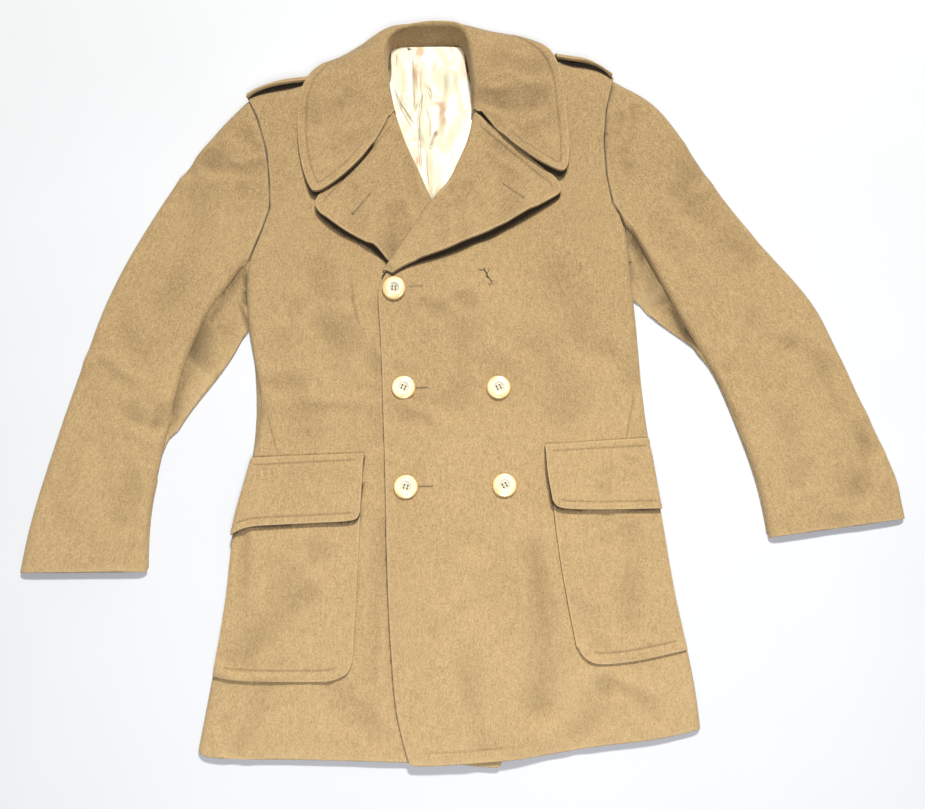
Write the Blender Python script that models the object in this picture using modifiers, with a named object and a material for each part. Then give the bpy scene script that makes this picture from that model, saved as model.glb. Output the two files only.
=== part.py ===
"""A double-breasted wool mackinaw coat, buttoned and laid flat on its back.

The coat lies in the XY plane with its neck towards +Y and its underside on Z = 0.
The wearer's right is at -X, so the left front, which laps over, is at +X.
Each cut piece is a closed wall of cloth. Pieces are clear of each other by GAP.
All sizes and tables are in millimetres; MM turns them into the mesh's metres.
"""

import math

import bmesh
import bpy
from mathutils import Matrix, Vector

MM = 0.001

# Cloth walls
BACK = 3.5              # back panel: wool with its lining
FRONT = 4.0             # front panel: wool, canvas and lining
SLEEVE = 3.8            # upper sleeve: wool and lining
UNDER_SLEEVE = 3.5
LAPEL = 3.4             # facing and front turned back together
COLLAR = 4.2            # top collar, canvas and under collar
POCKET = 3.0
FLAP = 4.0
LOOP = 3.6
LINING = 1.0
GAP = 0.4               # clear space at a seam and between layers
LAY = 1.1               # and what a curved piece keeps besides, where it lies on another
LAPEL_AIR = 2.6         # room round the right lapel where the left front covers it
AIR = 2.5               # how far the fronts lie above the back

# Heights
CHEST = 1.6             # what the chest canvas adds to a front
RIDGE = 27.0            # top of the padded shoulder
RIDGE_DEPTH = 18.0      # how far the shoulder rounds over behind its crest
PAD_REACH = 150.0       # how far down the front the shoulder's rise is felt
SLEEVE_TOP = 11.0       # top of the sleeve where it lies flat
SIDE_ROLL = 9.0         # width of the rounding at a side edge
HEAD_ROLL = 17.0        # the same at the sleeve's head
NOSE = 6.6              # room that a turned lapel or collar takes at its roll
COLLAR_TOP = 38.0       # top of the collar behind the neck
COLLAR_TURN_Y = 468.0   # where it turns down there
COLLAR_DEPTH = 23.0     # how far it rounds over behind that line
COLLAR_TIP = 9.0        # radius of its tips
COLLAR_FALL = 110.0     # width of its fall, on which the tips are rounded
COLLAR_ROW = 19.0       # mean spacing of its table's rows along the edge
FLOOR_ROUND = 5.0       # softness of its turn where it meets the floor

# Buttons
BUTTON_D = 28.5
BUTTON_T = 4.4
BUTTON_HOLE_D = 2.3
BUTTON_HOLE_PITCH = 4.1
BUTTON_SEAT = 0.35      # clear space between a button and the cloth under it
BUTTONS = {
    "button_top_right": (-57.4, 132.4),
    "button_mid_right": (-45.2, 11.6),
    "button_low_right": (-41.0, -106.3),
    "button_mid_left": (67.2, 11.6),
    "button_low_left": (73.1, -104.5),
}

# Colours
WOOL_RGB = (0.42, 0.30, 0.15)
LINING_RGB = (0.66, 0.55, 0.37)
BUTTON_RGB = (0.72, 0.56, 0.28)


class Rows:
    """A short table with named columns and a row for each section, read smoothly."""

    def __init__(self, columns, *rows):
        self.columns = columns.split()
        self.rows = rows

    def column(self, name):
        place = self.columns.index(name)
        return [row[place] for row in self.rows]

    def at(self, key, name):
        """Value of a column where the first column reads key."""
        return along(self.column(self.columns[0]), self.column(name), key)

    def near(self, step, *names):
        """Values of some columns at a row number, which may lie between two rows."""
        steps = list(range(len(self.rows)))
        return [along(steps, self.column(name), step) for name in names]


def along(keys, values, key):
    """A smooth curve through values at rising keys, straight past its ends."""
    if key <= keys[0]:
        return values[0]
    if key >= keys[-1]:
        return values[-1]
    i = max(k for k in range(len(keys) - 1) if keys[k] <= key)

    def slope(k):
        low, high = max(k - 1, 0), min(k + 1, len(keys) - 1)
        return (values[high] - values[low]) / (keys[high] - keys[low])

    width = keys[i + 1] - keys[i]
    t = (key - keys[i]) / width
    rise = values[i + 1] - values[i]
    bend_in = slope(i) * width - rise
    bend_out = rise - slope(i + 1) * width
    return values[i] + rise * t + t * (1 - t) * (bend_in * (1 - t) + bend_out * t)


# Side edges and, above the armpit, armhole seams
RIGHT_SIDE = Rows(
    "y x",
    (-402, -268), (-320, -256), (-230, -245), (-150, -240), (-85, -226), (-16, -212),
    (40, -224), (100, -236), (170, -239), (190, -231), (241, -214), (274, -216),
    (314, -220), (355, -232), (384, -247), (402, -257),
)
LEFT_SIDE = Rows(
    "y x",
    (-380, 289), (-322, 284), (-234, 268), (-150, 257), (-80, 248), (0, 239),
    (84, 235), (160, 230), (215, 226), (232, 220), (247, 211), (284, 204.5),
    (327, 202), (367, 205), (411, 216), (428, 223),
)
# Front edges, which run on up the rolls of the lapels and the collar
RIGHT_EDGE = Rows(
    "y x",
    (-412, 66), (-396, 76), (-300, 86), (-105, 97), (12, 92), (90, 84), (120, 76),
    (166, 45), (214, 12), (249, -12), (292, -30), (323, -44), (346, -53), (378, -63),
    (405, -68.5), (451, -71.5), (475, -72),
)
LEFT_EDGE = Rows(
    "y x",
    (-413, -32), (-401, -43), (-337, -51), (-275, -57), (-188, -62), (-129, -64),
    (-54, -67), (2, -70), (70, -73), (130, -78), (149, -78), (160, -69), (186, -52),
    (221, -30), (249, -12), (275, 6), (305, 19), (335, 31), (378, 39), (399, 37.5),
    (433, 33), (459, 29), (475, 27),
)
HEM = Rows(
    "x right left",
    (-268, -398, -398), (-255, -404, -404), (-135, -406.5, -409), (-44, -409, -411),
    (-20, -410, -413), (28, -410.5, -410), (43, -414, -409), (70, -414.5, -407),
    (92, -411, -405), (168, -409, -393),
    (245, -409, -384), (289, -409, -374),
)
# Crest of the shoulders and the neck seam of the back between them
CREST = Rows(
    "x y",
    (-262, 352), (-250, 371), (-238, 381), (-216, 388), (-190, 393), (-170, 399),
    (-143, 418), (-112, 435), (-87, 449), (-70, 456), (30, 460), (46, 460), (78, 456),
    (109, 449), (131, 438), (145, 430), (162, 424), (183, 421), (200, 415), (212, 406),
    (226, 388),
)
NECK = Rows(
    "x y", (-80, 450), (-68, 454), (-45, 458), (-18, 458.4), (5, 459.6), (24, 459.3), (40, 452),
)

# A row for each section across a sleeve, from the armhole to the cuff
RIGHT_SLEEVE = Rows(
    "outer_x outer_y inner_x inner_y under_x under_y",
    (-250, 386, -239, 176, -240.5, 176),
    (-289, 340, -259, 144, -239.5, 130),
    (-345, 254, -285, 102, -237.5, 82),
    (-398, 149, -308, 40, -266, 29),
    (-429, 48, -320, -25, -306, -26),
    (-454, -49, -331, -90, -331, -90),
    (-475, -143, -337.5, -150, -337.5, -150),
    (-482.5, -204, -335.5, -203, -335.5, -203),
)
LEFT_SLEEVE = Rows(
    "outer_x outer_y inner_x inner_y under_x under_y",
    (220, 412, 224, 229, 226.5, 229),
    (276, 377, 247, 182, 232, 175),
    (332, 281, 273.5, 128, 236, 122),
    (387, 200, 298, 78, 268, 85),
    (447, 125, 326, 28, 316, 50),
    (473, 64, 343, -18, 343, -18),
    (506, -24, 363, -80, 363, -80),
    (530, -88, 372, -122, 372, -122),
    (537.5, -142, 377, -164, 377, -164),
)

# A row for each section of a lapel, from its break up to the collar
RIGHT_LAPEL = Rows(
    "roll_y edge_x edge_y lift",
    (120, 62, 114, 0),
    (166, -12, 120, 0),
    (214, -58, 156, 0.5),
    (249, -86, 187, 4),
    (292, -121, 207, 6),
    (323, -149, 229, 6),
    (341, -157, 243, 4),
    (366, -153, 257, 1),
)
LEFT_LAPEL = Rows(
    "roll_y edge_x edge_y lift",
    (154, -61, 150, 1),
    (183, -36, 164, 4),
    (218, 4, 176.5, 7),
    (249, 45, 196, 9),
    (275, 92, 224, 9),
    (305, 130, 247, 7),
    (334, 147, 260, 5),
    (366, 140, 279, 1),
)
# A row for each section of the collar, from the wearer's right gorge round to the left:
# neck seam, fold, the outer edge as it would lie if the shoulder didn't turn it down,
# and how far the line from fold to edge sags towards the lapel
COLLAR_ROWS = Rows(
    "seam_x seam_y seam_z fold_x fold_y fold_z edge_x edge_y sag",
    (-59.5, 368, 14, -61, 373, 25, -157, 254, 13),
    (-63.5, 383, 13, -65, 387, 29, -168, 270, 9),
    (-67, 402, 12, -68.5, 405, 33, -178, 307, 5),
    (-69.5, 424, 11, -70.5, 427, 36, -181, 343, 2),
    (-70.5, 442, 10, -71.5, 444, 38, -179, 376, 0),
    (-66, 457.5, 13.2, -66.5, 461, 38, -167, 415, 0),
    (-53, 461, 9, -53, 470.5, 38, -139, 460, 0),
    (-37, 461, 7, -38, 473.5, 38, -92, 498, 0),
    (-20, 461.5, 7, -20, 475, 38, -44, 543, 0),
    (-4, 462.5, 7, -4, 475.5, 38, -3, 556, 0),
    (10, 463.5, 7.5, 10, 474.5, 38, 30, 535, 0),
    (20, 463, 10, 21, 471, 38, 66, 497, 0),
    (28, 451, 11.5, 29, 459, 38, 104, 479, 0),
    (31.5, 432, 11, 32.5, 441, 37, 138, 444, 0),
    (33.5, 418, 11.5, 34.5, 423, 35, 150, 400, 0),
    (35.7, 404, 12.2, 36.7, 407, 33, 154, 362, 2),
    (37.2, 388, 13, 38.4, 391, 29, 158.5, 322, 6),
    (37, 371, 14, 38.4, 375, 25, 154, 279, 9.5),
)
# Patch pockets and their flaps: inner edge up from its lower end, then the lower and
# upper lines read outwards from the middle of the coat
RIGHT_POCKET = {
    "out": -1,
    "inner": Rows("y x", (-322, -99), (-255, -96.5), (-178, -94), (-80, -93)),
    "low": Rows("x y", (99, -323.5), (190, -323.5), (230, -322), (256, -317)),
    "top": Rows("x y", (93, -80), (230, -84)),
    "corner": 22, "inset": 1.4,
}
LEFT_POCKET = {
    "out": 1,
    "inner": Rows("y x", (-303, 155), (-252, 146), (-175, 134), (-66, 124)),
    "low": Rows("x y", (155, -306), (186, -304.5), (206, -303), (235, -298), (280, -288)),
    "top": Rows("x y", (124, -70), (250, -66)),
    "corner": 20, "inset": 1.4,
}
RIGHT_FLAP = {
    "out": -1,
    "inner": Rows("y x", (-144, -93), (-66, -90.5)),
    "low": Rows("x y", (92, -146), (139, -148), (208, -151.5), (224, -153), (240, -162)),
    "top": Rows("x y", (90, -66), (216, -72)),
    "corner": 10, "inset": 0.6,
}
LEFT_FLAP = {
    "out": 1,
    "inner": Rows("y x", (-131, 129), (-115, 126.5), (-90, 122.5), (-56, 120.5)),
    "low": Rows("x y", (129, -132), (185, -133), (256, -131.5)),
    "top": Rows("x y", (120, -56.5), (184, -52), (246, -48)),
    "corner": 10, "inset": 0.6,
}
POCKET_PUFF = 1.2
FLAP_LIFT = 2.6
LOOP_ARCH = 5.5         # how far a shoulder loop's front edge stands off between its ends
LOOP_FRONT = 13.0       # where its front and rear edges lie, in degrees behind the crest
LOOP_REAR = 74.0
LOOPS = {"right": (-246, -170), "left": (213, 143)}     # outer and inner x of each


# Soft troughs and ridges of the fronts: a row for each, from end to end
FOLDS = Rows(
    "x0 y0 x1 y1 width height",
    (-30, 160, -10, 40, 26, -1.2),
    (20, 118, 95, 60, 30, 1.3),
    (110, 150, 190, 60, 34, -1.2),
    (-150, 170, -120, 20, 30, 1.2),
    (-190, -10, -120, -50, 20, -1.0),
    (150, -300, 215, -372, 22, 1.5),
    (60, -210, 110, -390, 30, -1.3),
    (-40, -180, 20, -330, 34, 1.2),
    (-200, 60, -150, -30, 20, -1.0),
    (170, 40, 220, -30, 22, 1.2),
)


def smooth(low, high, value):
    """Ease from 0 at low to 1 at high."""
    t = min(max((value - low) / (high - low), 0.0), 1.0)
    return t * t * (3 - 2 * t)


def mix(a, b, t):
    return a + (b - a) * t


def quarter(distance, radius):
    """Height, from 0 to 1, of a rounded edge at a distance in from it."""
    t = 1 - min(max(distance / radius, 0.0), 1.0)
    return math.sqrt(max(1 - t * t, 0.0))


def relief(x, y):
    """Height of the soft folds at a point of the fronts."""
    total = 0.0
    for x0, y0, x1, y1, width, height in FOLDS.rows:
        dx, dy = x1 - x0, y1 - y0
        length = math.hypot(dx, dy)
        t = ((x - x0) * dx + (y - y0) * dy) / length
        off = ((x - x0) * dy - (y - y0) * dx) / length
        past = max(0.0, -t, t - length)
        total += height * math.exp(-((off / width) ** 2) - (past / width) ** 2)
    return total


def side_distance(x, y):
    """Distance in from the nearer side edge."""
    return min(x - RIGHT_SIDE.at(y, "x"), LEFT_SIDE.at(y, "x") - x)


def shoulder(x, y):
    """Rise towards the shoulder's crest: 0 on the body, 1 on the crest."""
    return (1 - smooth(0, PAD_REACH, CREST.at(x, "y") - y)) ** 1.4


def over_fall(x, y):
    """Rise of the back over the collar's fall, which is tucked under the neck."""
    across_neck = smooth(-84, -72, x) * (1 - smooth(28, 40, x))
    return (COLLAR + 3 * GAP) * across_neck * smooth(400, 443, y)


def single_under(x, y):
    """Underside of a front that lies on the back alone."""
    return BACK + AIR + relief(x, y) * (1 - shoulder(x, y)) + over_fall(x, y)


def front_wall(x, y):
    """Thickness of a front with its canvas and shoulder pad."""
    canvas = CHEST * smooth(0, 120, y)
    return mix(FRONT + canvas, RIDGE - BACK - AIR - over_fall(x, y), shoulder(x, y))


def over_lap(x, y):
    """How fully the left front is raised by the right front below it."""
    return 1 - smooth(16, 48, x - RIGHT_EDGE.at(y, "x"))


def over_lapel(x, y):
    """How fully the left front is raised by the turned right lapel below it."""
    roll = RIGHT_EDGE.at(y, "x") - x
    hang = y - along([-90, -58, -12, 40, 70], [170, 143, 106, 98, 98], x)
    return smooth(-26, -3, roll) * smooth(-30, -3, hang)


def left_under(x, y):
    """Underside of the left front, over the layers that it lies on."""
    layers = over_lap(x, y) * (front_wall(x, y) + GAP + LAY)
    layers += over_lapel(x, y) * (LAPEL + LAPEL_AIR)
    return single_under(x, y) + layers * (1 - shoulder(x, y))


def rolled(x, y, high, low):
    """A top surface brought down to the back at the side edges below the armpits."""
    armpit = 200 if x < 0 else 240
    edge = quarter(side_distance(x, y), SIDE_ROLL)
    return mix(high, mix(low, high, edge), 1 - smooth(armpit - 26, armpit, y))


def crest_drop(x, y):
    """Share of the shoulder's height that is left behind its crest."""
    behind = min(max((y - CREST.at(x, "y")) / RIDGE_DEPTH, 0.0), 0.99)
    return math.sqrt(1 - behind * behind)


def right_top(x, y):
    """Upper side of the right front."""
    high = (single_under(x, y) + front_wall(x, y)) * crest_drop(x, y)
    return rolled(x, y, high, BACK + 2 * GAP)


def left_top(x, y):
    """Upper side of the left front."""
    high = (left_under(x, y) + front_wall(x, y)) * crest_drop(x, y)
    return rolled(x, y, high, BACK + 2 * GAP)


def body_top(x, y):
    """Upper side of the front that shows at a point."""
    return left_top(x, y) if x > LEFT_EDGE.at(y, "x") else right_top(x, y)


# Building ---------------------------------------------------------------------------


def fresh_collections():
    """Empty the scene and give the coat and its cutters a collection each."""
    for thing in list(bpy.data.objects):
        bpy.data.objects.remove(thing)
    made = []
    for name in ("mackinaw_coat", "cutters"):
        collection = bpy.data.collections.new(name)
        bpy.context.scene.collection.children.link(collection)
        made.append(collection)
    return made


def material(name, rgb, roughness):
    finish = bpy.data.materials.new(name)
    finish.use_nodes = True
    shader = finish.node_tree.nodes["Principled BSDF"]
    shader.inputs["Base Color"].default_value = (*rgb, 1)
    shader.inputs["Roughness"].default_value = roughness
    shader.inputs["Metallic"].default_value = 0.0
    return finish


def spaced(count, start=0.0, end=0.0, fine=3):
    """Even steps from 0 to 1, with fine ones over a start or end share of the way."""
    steps = [k / count for k in range(count + 1)]
    extra = [start * (k / fine) ** 1.6 for k in range(1, fine + 1) if start]
    extra += [1 - end * (k / fine) ** 1.6 for k in range(1, fine + 1) if end]
    keep = [s for s in steps if (s == 0 or s > start * 1.5) and (s == 1 or s < 1 - end * 1.5)]
    return sorted(keep + extra)


def grid(across, along_steps, place):
    """A sheet of faces whose points are placed at each pair of steps."""
    mesh = bmesh.new()
    columns, rows = len(across) - 1, len(along_steps) - 1
    bmesh.ops.create_grid(mesh, x_segments=columns, y_segments=rows, size=0.5)
    steps = {}
    for vert in mesh.verts:
        i = round((vert.co.x + 0.5) * columns)
        j = round((vert.co.y + 0.5) * rows)
        steps[vert] = (across[i], along_steps[j])
        vert.co = Vector(place(*steps[vert])) * MM
    if sum(face.calc_area() * face.normal.z for face in renewed(mesh)) < 0:
        bmesh.ops.reverse_faces(mesh, faces=mesh.faces)
    return mesh, steps


def renewed(mesh):
    mesh.normal_update()
    return mesh.faces


def finish_piece(mesh, name, finish):
    """Put a mesh into the coat as a named, smooth-shaded piece."""
    data = bpy.data.meshes.new(name)
    mesh.to_mesh(data)
    mesh.free()
    data.materials.append(finish)
    data.shade_smooth()
    data.set_sharp_from_angle(angle=math.radians(50))
    piece = bpy.data.objects.new(name, data)
    COAT.objects.link(piece)
    return piece


def slab(name, finish, across, along_steps, top, under):
    """A piece with an upper and an under surface of its own, closed round its edge."""
    mesh, steps = grid(across, along_steps, top)
    upper = list(mesh.verts)
    lower = bmesh.ops.extrude_face_region(mesh, geom=mesh.faces[:])
    twins = {}
    for vert in (v for v in lower["geom"] if isinstance(v, bmesh.types.BMVert)):
        twins[tuple(vert.co)] = vert
    for vert in upper:
        twins[tuple(vert.co)].co = Vector(under(*steps[vert])) * MM
    bmesh.ops.recalc_face_normals(mesh, faces=mesh.faces)
    return finish_piece(mesh, name, finish)


def wall(name, finish, across, along_steps, place, thickness):
    """A piece of even thickness, given by the surface that shows."""
    mesh, _ = grid(across, along_steps, place)
    piece = finish_piece(mesh, name, finish)
    solid = piece.modifiers.new("cloth", "SOLIDIFY")
    solid.thickness = thickness * MM
    solid.offset = -1
    solid.use_quality_normals = True
    return piece


def panel_point(across, up, side, edge, hem, top):
    """Point of a panel between a side and an edge, and between a hem and a top."""
    y = mix(-400, 420, up)
    for _ in range(8):
        x = mix(side(y), edge(y), across)
        y = mix(hem(x), top(x), up)
    return x, y


def seam_top(x):
    """Front's shoulder seam, a little behind the crest."""
    return CREST.at(x, "y") + 0.574 * RIDGE_DEPTH


def front(name, side, edge, hem_column, tuck, top_height, under_height):
    """A front panel, whose edge is tucked into the lapel's and collar's roll."""
    break_y = 152 if tuck > 0 else 116

    def seam_side(y):
        armpit = 200 if tuck < 0 else 236
        inward = GAP * smooth(armpit - 30, armpit, y)
        return side.at(y, "x") + (inward if tuck < 0 else -inward)

    def inner(y):
        return edge.at(y, "x") + tuck * smooth(break_y - 10, break_y - 2, y)

    def place(across, up):
        return panel_point(
            across, up, seam_side, inner, lambda x: HEM.at(x, hem_column), seam_top
        )

    def top(across, up):
        x, y = place(across, up)
        return x, y, top_height(x, y)

    def under(across, up):
        x, y = place(across, up)
        high = under_height(x, y)
        inset = side_distance(x, y) - FRONT
        pulled = y - 16 * smooth(0.92, 1.0, up)
        x += (side.at(pulled, "x") - side.at(y, "x")) * (1 - across)
        armpit = 200 if tuck < 0 else 236
        low = mix(BACK + GAP, high, quarter(inset, SIDE_ROLL))
        return x, pulled, mix(low, high, smooth(armpit - 26, armpit, y))

    across = spaced(13, start=0.04, end=0.0, fine=3)
    up = [0.055 * k for k in range(11)] + [0.6 + 0.025 * k for k in range(15)] + [0.97, 0.985, 1.0]
    return slab(name, WOOL, across, up, top, under)


def back_panel():
    """The back: flat on the floor, curled up behind the shoulders to their seams."""

    def neck_share(x):
        return smooth(-84, -74, x) * (1 - smooth(28, 40, x))

    def flat_end(x):
        shoulder_end = CREST.at(x, "y") + RIDGE_DEPTH - 9
        return mix(shoulder_end, NECK.at(x, "y"), neck_share(x))

    def curl(step):
        """Behind-crest distance and height of the curl, from its foot to its seam."""
        foot = [RIDGE_DEPTH - 9, RIDGE_DEPTH - 0.8]
        angles = [math.radians(a) for a in (66, 54, 43)]
        outs = foot + [RIDGE_DEPTH * math.sin(a) for a in angles]
        highs = [0, 5.5] + [RIDGE * math.cos(a) for a in angles]
        return along([0, 1, 2, 3, 4], outs, step), along([0, 1, 2, 3, 4], highs, step)

    def place(across, up):
        flat_share = min(up / 0.8, 1.0)
        x, y = panel_point(
            across, flat_share,
            lambda y: RIGHT_SIDE.at(y, "x") + 1.3,
            lambda y: LEFT_SIDE.at(y, "x") - 1.3,
            lambda x: HEM.at(x, "left") + 2.5, flat_end,
        )
        lift = over_fall(x, y)
        if up <= 0.8:
            return x, y, lift
        step = (up - 0.8) / 0.2 * 4
        out, high = curl(step)
        curled = CREST.at(x, "y") + out
        return x, mix(curled, y + 0.4 * step, neck_share(x)), mix(high, lift, neck_share(x))

    across = spaced(17)
    flat = [0, 0.14, 0.3, 0.45, 0.58] + [0.67 + 0.035 * k for k in range(8)]
    flat += [0.93, 0.945, 0.96, 0.975, 0.99, 1]
    up = [0.8 * share for share in flat] + [0.85, 0.9, 0.95, 1.0]
    piece = wall("back", WOOL, across, up, place, BACK)
    piece.modifiers["cloth"].offset = 1
    return piece


def back_lining():
    """Satin lining of the back where the neck opening shows it, in soft folds."""

    def place(across, up):
        y = mix(212, 454, up)
        beyond = mix(8, -4, smooth(400, 418, y))
        low = RIGHT_EDGE.at(max(y, 250), "x") - beyond
        high = LEFT_EDGE.at(max(y, 250), "x") + beyond
        x = mix(low, high, across)
        inside = min(smooth(beyond + 1, 20, x - low), smooth(beyond + 1, 20, high - x))
        folds = math.sin(x * 0.21 + 0.6 * math.sin(y * 0.02)) * math.sin(y * 0.011 + 1.2)
        lying = BACK + GAP + LINING + 0.4 + over_fall(x, y)
        return x, y, lying + inside * (1.3 + 1.2 * folds)

    up = [0, 0.15, 0.3, 0.45, 0.6, 0.7, 0.78, 0.83, 0.88, 0.93, 1]
    return wall("back_lining", SATIN, spaced(11), up, place, LINING)


def sleeve_point(table, across, down, columns):
    """Plan point of a sleeve, following the curved armhole at its head."""
    step = down * (len(table.rows) - 1)
    ox, oy, ix, iy = table.near(step, *columns)
    x, y = mix(ox, ix, across), mix(oy, iy, across)
    armhole = RIGHT_SIDE if ox < 0 else LEFT_SIDE
    top_y, low_y = table.rows[0][1], table.rows[0][3]
    seam_y = mix(top_y, low_y, across)
    straight = mix(table.rows[0][0], table.rows[0][2], across)
    bow = armhole.at(seam_y, "x") - straight
    return x + bow * (1 - smooth(0, 1.7 - across, step)), y


def sleeve(name, under_name, table):
    """Upper and under halves of a sleeve that lies flat."""
    out = 1 if table.rows[0][0] > 0 else -1
    rows = len(table.rows) - 1
    top_of_body = left_top if out > 0 else right_top

    def plan(across, down):
        x, y = sleeve_point(table, across, down, ("outer_x", "outer_y", "inner_x", "inner_y"))
        return x + out * (GAP + 0.2 + 1.3 * smooth(0.7, 0.85, across)), y

    def edge_distance(across, down):
        ox, oy, ix, iy = table.near(down * rows, "outer_x", "outer_y", "inner_x", "inner_y")
        width = math.hypot(ix - ox, iy - oy)
        return min(across, 1 - across) * width, across * width

    def height(across, down):
        armhole = RIGHT_SIDE if out < 0 else LEFT_SIDE
        seam_y = mix(table.rows[0][1], table.rows[0][3], across)
        seam_y = min(seam_y, CREST.at(armhole.at(seam_y, "x"), "y") - 2)
        seam = top_of_body(armhole.at(seam_y, "x") - out * 2, seam_y)
        head = 1 - smooth(0, 2.2, down * rows)
        return mix(SLEEVE_TOP, seam, head)

    def top(across, down):
        x, y = plan(across, down)
        near, outer = edge_distance(across, down)
        head = 1 - smooth(0, 2.2, down * rows)
        roll = mix(SIDE_ROLL, HEAD_ROLL, head if outer == near else 0)
        low = UNDER_SLEEVE + 2 * GAP
        return x, y, mix(low, height(across, down), quarter(near, roll))

    def under(across, down):
        x, y = plan(across, down)
        near, _ = edge_distance(across, down)
        low, high = UNDER_SLEEVE + GAP, SLEEVE_TOP - SLEEVE
        return x, y, mix(low, high, quarter(near - SLEEVE, SIDE_ROLL))

    across = spaced(10, start=0.06, end=0.05, fine=2)
    slab(name, WOOL, across, spaced(17), top, under)

    def lower(across, down):
        columns = ("outer_x", "outer_y", "under_x", "under_y")
        x, y = sleeve_point(table, across, down, columns)
        return x + out * (GAP + 0.6), y, 0.0

    piece = wall(under_name, WOOL, spaced(7), spaced(14), lower, UNDER_SLEEVE)
    piece.modifiers["cloth"].offset = 1


def lapel(name, table, roll, carrier_top, carrier_under):
    """A lapel that turns over at its roll and lies on its front."""
    rows = len(table.rows) - 1
    outward = 1 if table is LEFT_LAPEL else -1

    def place(step_across, up):
        ry, ex, ey, lift = table.near(up * rows, *table.columns)
        rx = roll.at(ry, "x")
        low_x = rx + outward * NOSE
        low = carrier_under(low_x, ry)
        high = carrier_top(low_x, ry) + GAP + LAPEL + LAY
        turn = outward * NOSE * 0.68
        if step_across < 0:
            share = 1 + step_across
            return rx + turn * share * share, ry, mix(low, high, math.sin(share * math.pi / 2))
        x, y = mix(rx + turn, ex, step_across), mix(ry, ey, step_across)
        lying = carrier_top(x, y) + GAP + LAPEL + LAY
        return x, y, lying + lift * step_across ** 3

    across = [-1, -0.75, -0.5, -0.25, 0] + [k / 9 for k in range(1, 10)]
    return wall(name, WOOL, across, spaced(16), place, LAPEL)


def over_loop(x):
    """Rise of the collar over the inner end of a shoulder loop."""
    ends = [abs(x - inner_x) for _, inner_x in LOOPS.values()]
    return (LOOP + GAP + LAY) * (1 - smooth(8, 26, min(ends)))


def turned_down(x, y):
    """Point of the collar's fall, laid over the body and down behind it."""
    in_neck = smooth(-100, -60, x) * (1 - smooth(20, 60, x))
    crest = CREST.at(x, "y")
    clear = COLLAR + GAP + LAY
    high = mix(RIDGE + clear + over_loop(x), COLLAR_TOP, in_neck)
    deep = mix(RIDGE_DEPTH + clear + LAY + over_loop(x), COLLAR_DEPTH, in_neck)
    beyond = y - mix(crest, COLLAR_TURN_Y, in_neck)
    if beyond <= 0:
        loop = over_loop(x) * smooth(-34, -16, y - crest)
        lying = body_top(x, min(y, crest)) + clear + loop
        return Vector((x, y, mix(lying, high, smooth(-30, 0, beyond))))
    turn = math.pi / 2 * math.hypot(high, deep) / math.sqrt(2)
    angle = min(beyond / turn, 1) * math.pi / 2
    tucked = max(beyond - turn, 0)
    behind = deep * math.sin(angle) - tucked
    level = high * math.cos(angle) - 0.6 * tucked
    return Vector((x, y - beyond + behind, GAP + (level + math.hypot(level, FLOOR_ROUND)) / 2))


def round_tip(across, round_neck):
    """Steps of a point of the fall, moved in from the corner to give it a round tip."""
    span = COLLAR_ROW * (len(COLLAR_ROWS.rows) - 1)
    from_end = min(round_neck, 1 - round_neck) * span
    u = 1 - (1 - across) * COLLAR_FALL / COLLAR_TIP
    v = 1 - from_end / COLLAR_TIP
    if u <= 0 or v <= 0:
        return across, round_neck
    across = 1 - (1 - u * math.sqrt(1 - v * v / 2)) * COLLAR_TIP / COLLAR_FALL
    from_end = (1 - v * math.sqrt(1 - u * u / 2)) * COLLAR_TIP / span
    return across, from_end if round_neck < 0.5 else 1 - from_end


def collar():
    """The collar: stand, fold and fall, round the neck and over the lapels."""
    rows = len(COLLAR_ROWS.rows) - 1

    def place(step, round_neck):
        """Steps run from -2 at the neck seam and -1 below the fold to 1 at the edge."""
        if step > 0:
            step, round_neck = round_tip(step, round_neck)
        numbers = COLLAR_ROWS.near(round_neck * rows, *COLLAR_ROWS.columns)
        seam, fold = Vector(numbers[0:3]), Vector(numbers[3:6])
        edge = Vector((*numbers[6:8], fold.z))
        away = (edge - fold).normalized()
        if step <= -1:
            return seam.lerp(fold - Vector((0, 0, NOSE)), step + 2)
        if step <= 0:
            angle = (step + 1) * math.pi / 2
            rise = Vector((0, 0, NOSE)) * (math.sin(angle) - 1)
            return fold + away * NOSE * (1 - math.cos(angle)) + rise
        crown = fold + away * NOSE
        on_lapel = 1 - smooth(0, 1.6, min(round_neck, 1 - round_neck) * rows)
        down = Vector((-away.y, away.x, 0)) * (1 if round_neck < 0.5 else -1)
        flat = crown.lerp(edge, step) + down * numbers[8] * 4 * step * (1 - step)
        point = turned_down(flat.x, flat.y)
        held = (fold.z - turned_down(crown.x, crown.y).z) * (1 - smooth(0, 0.7, step))
        point.z += max((LAPEL + 2 * LAY + 2 * step) * on_lapel, held)
        return point

    across = [-2, -1.5, -1, -0.66, -0.33, 0]
    across += [0.14, 0.28, 0.4, 0.48, 0.56, 0.64, 0.73, 0.82, 0.91, 0.97, 1]
    round_neck = spaced(25, start=0.03, end=0.03, fine=2)
    return wall("collar", WOOL, across, round_neck, place, COLLAR)


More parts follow.
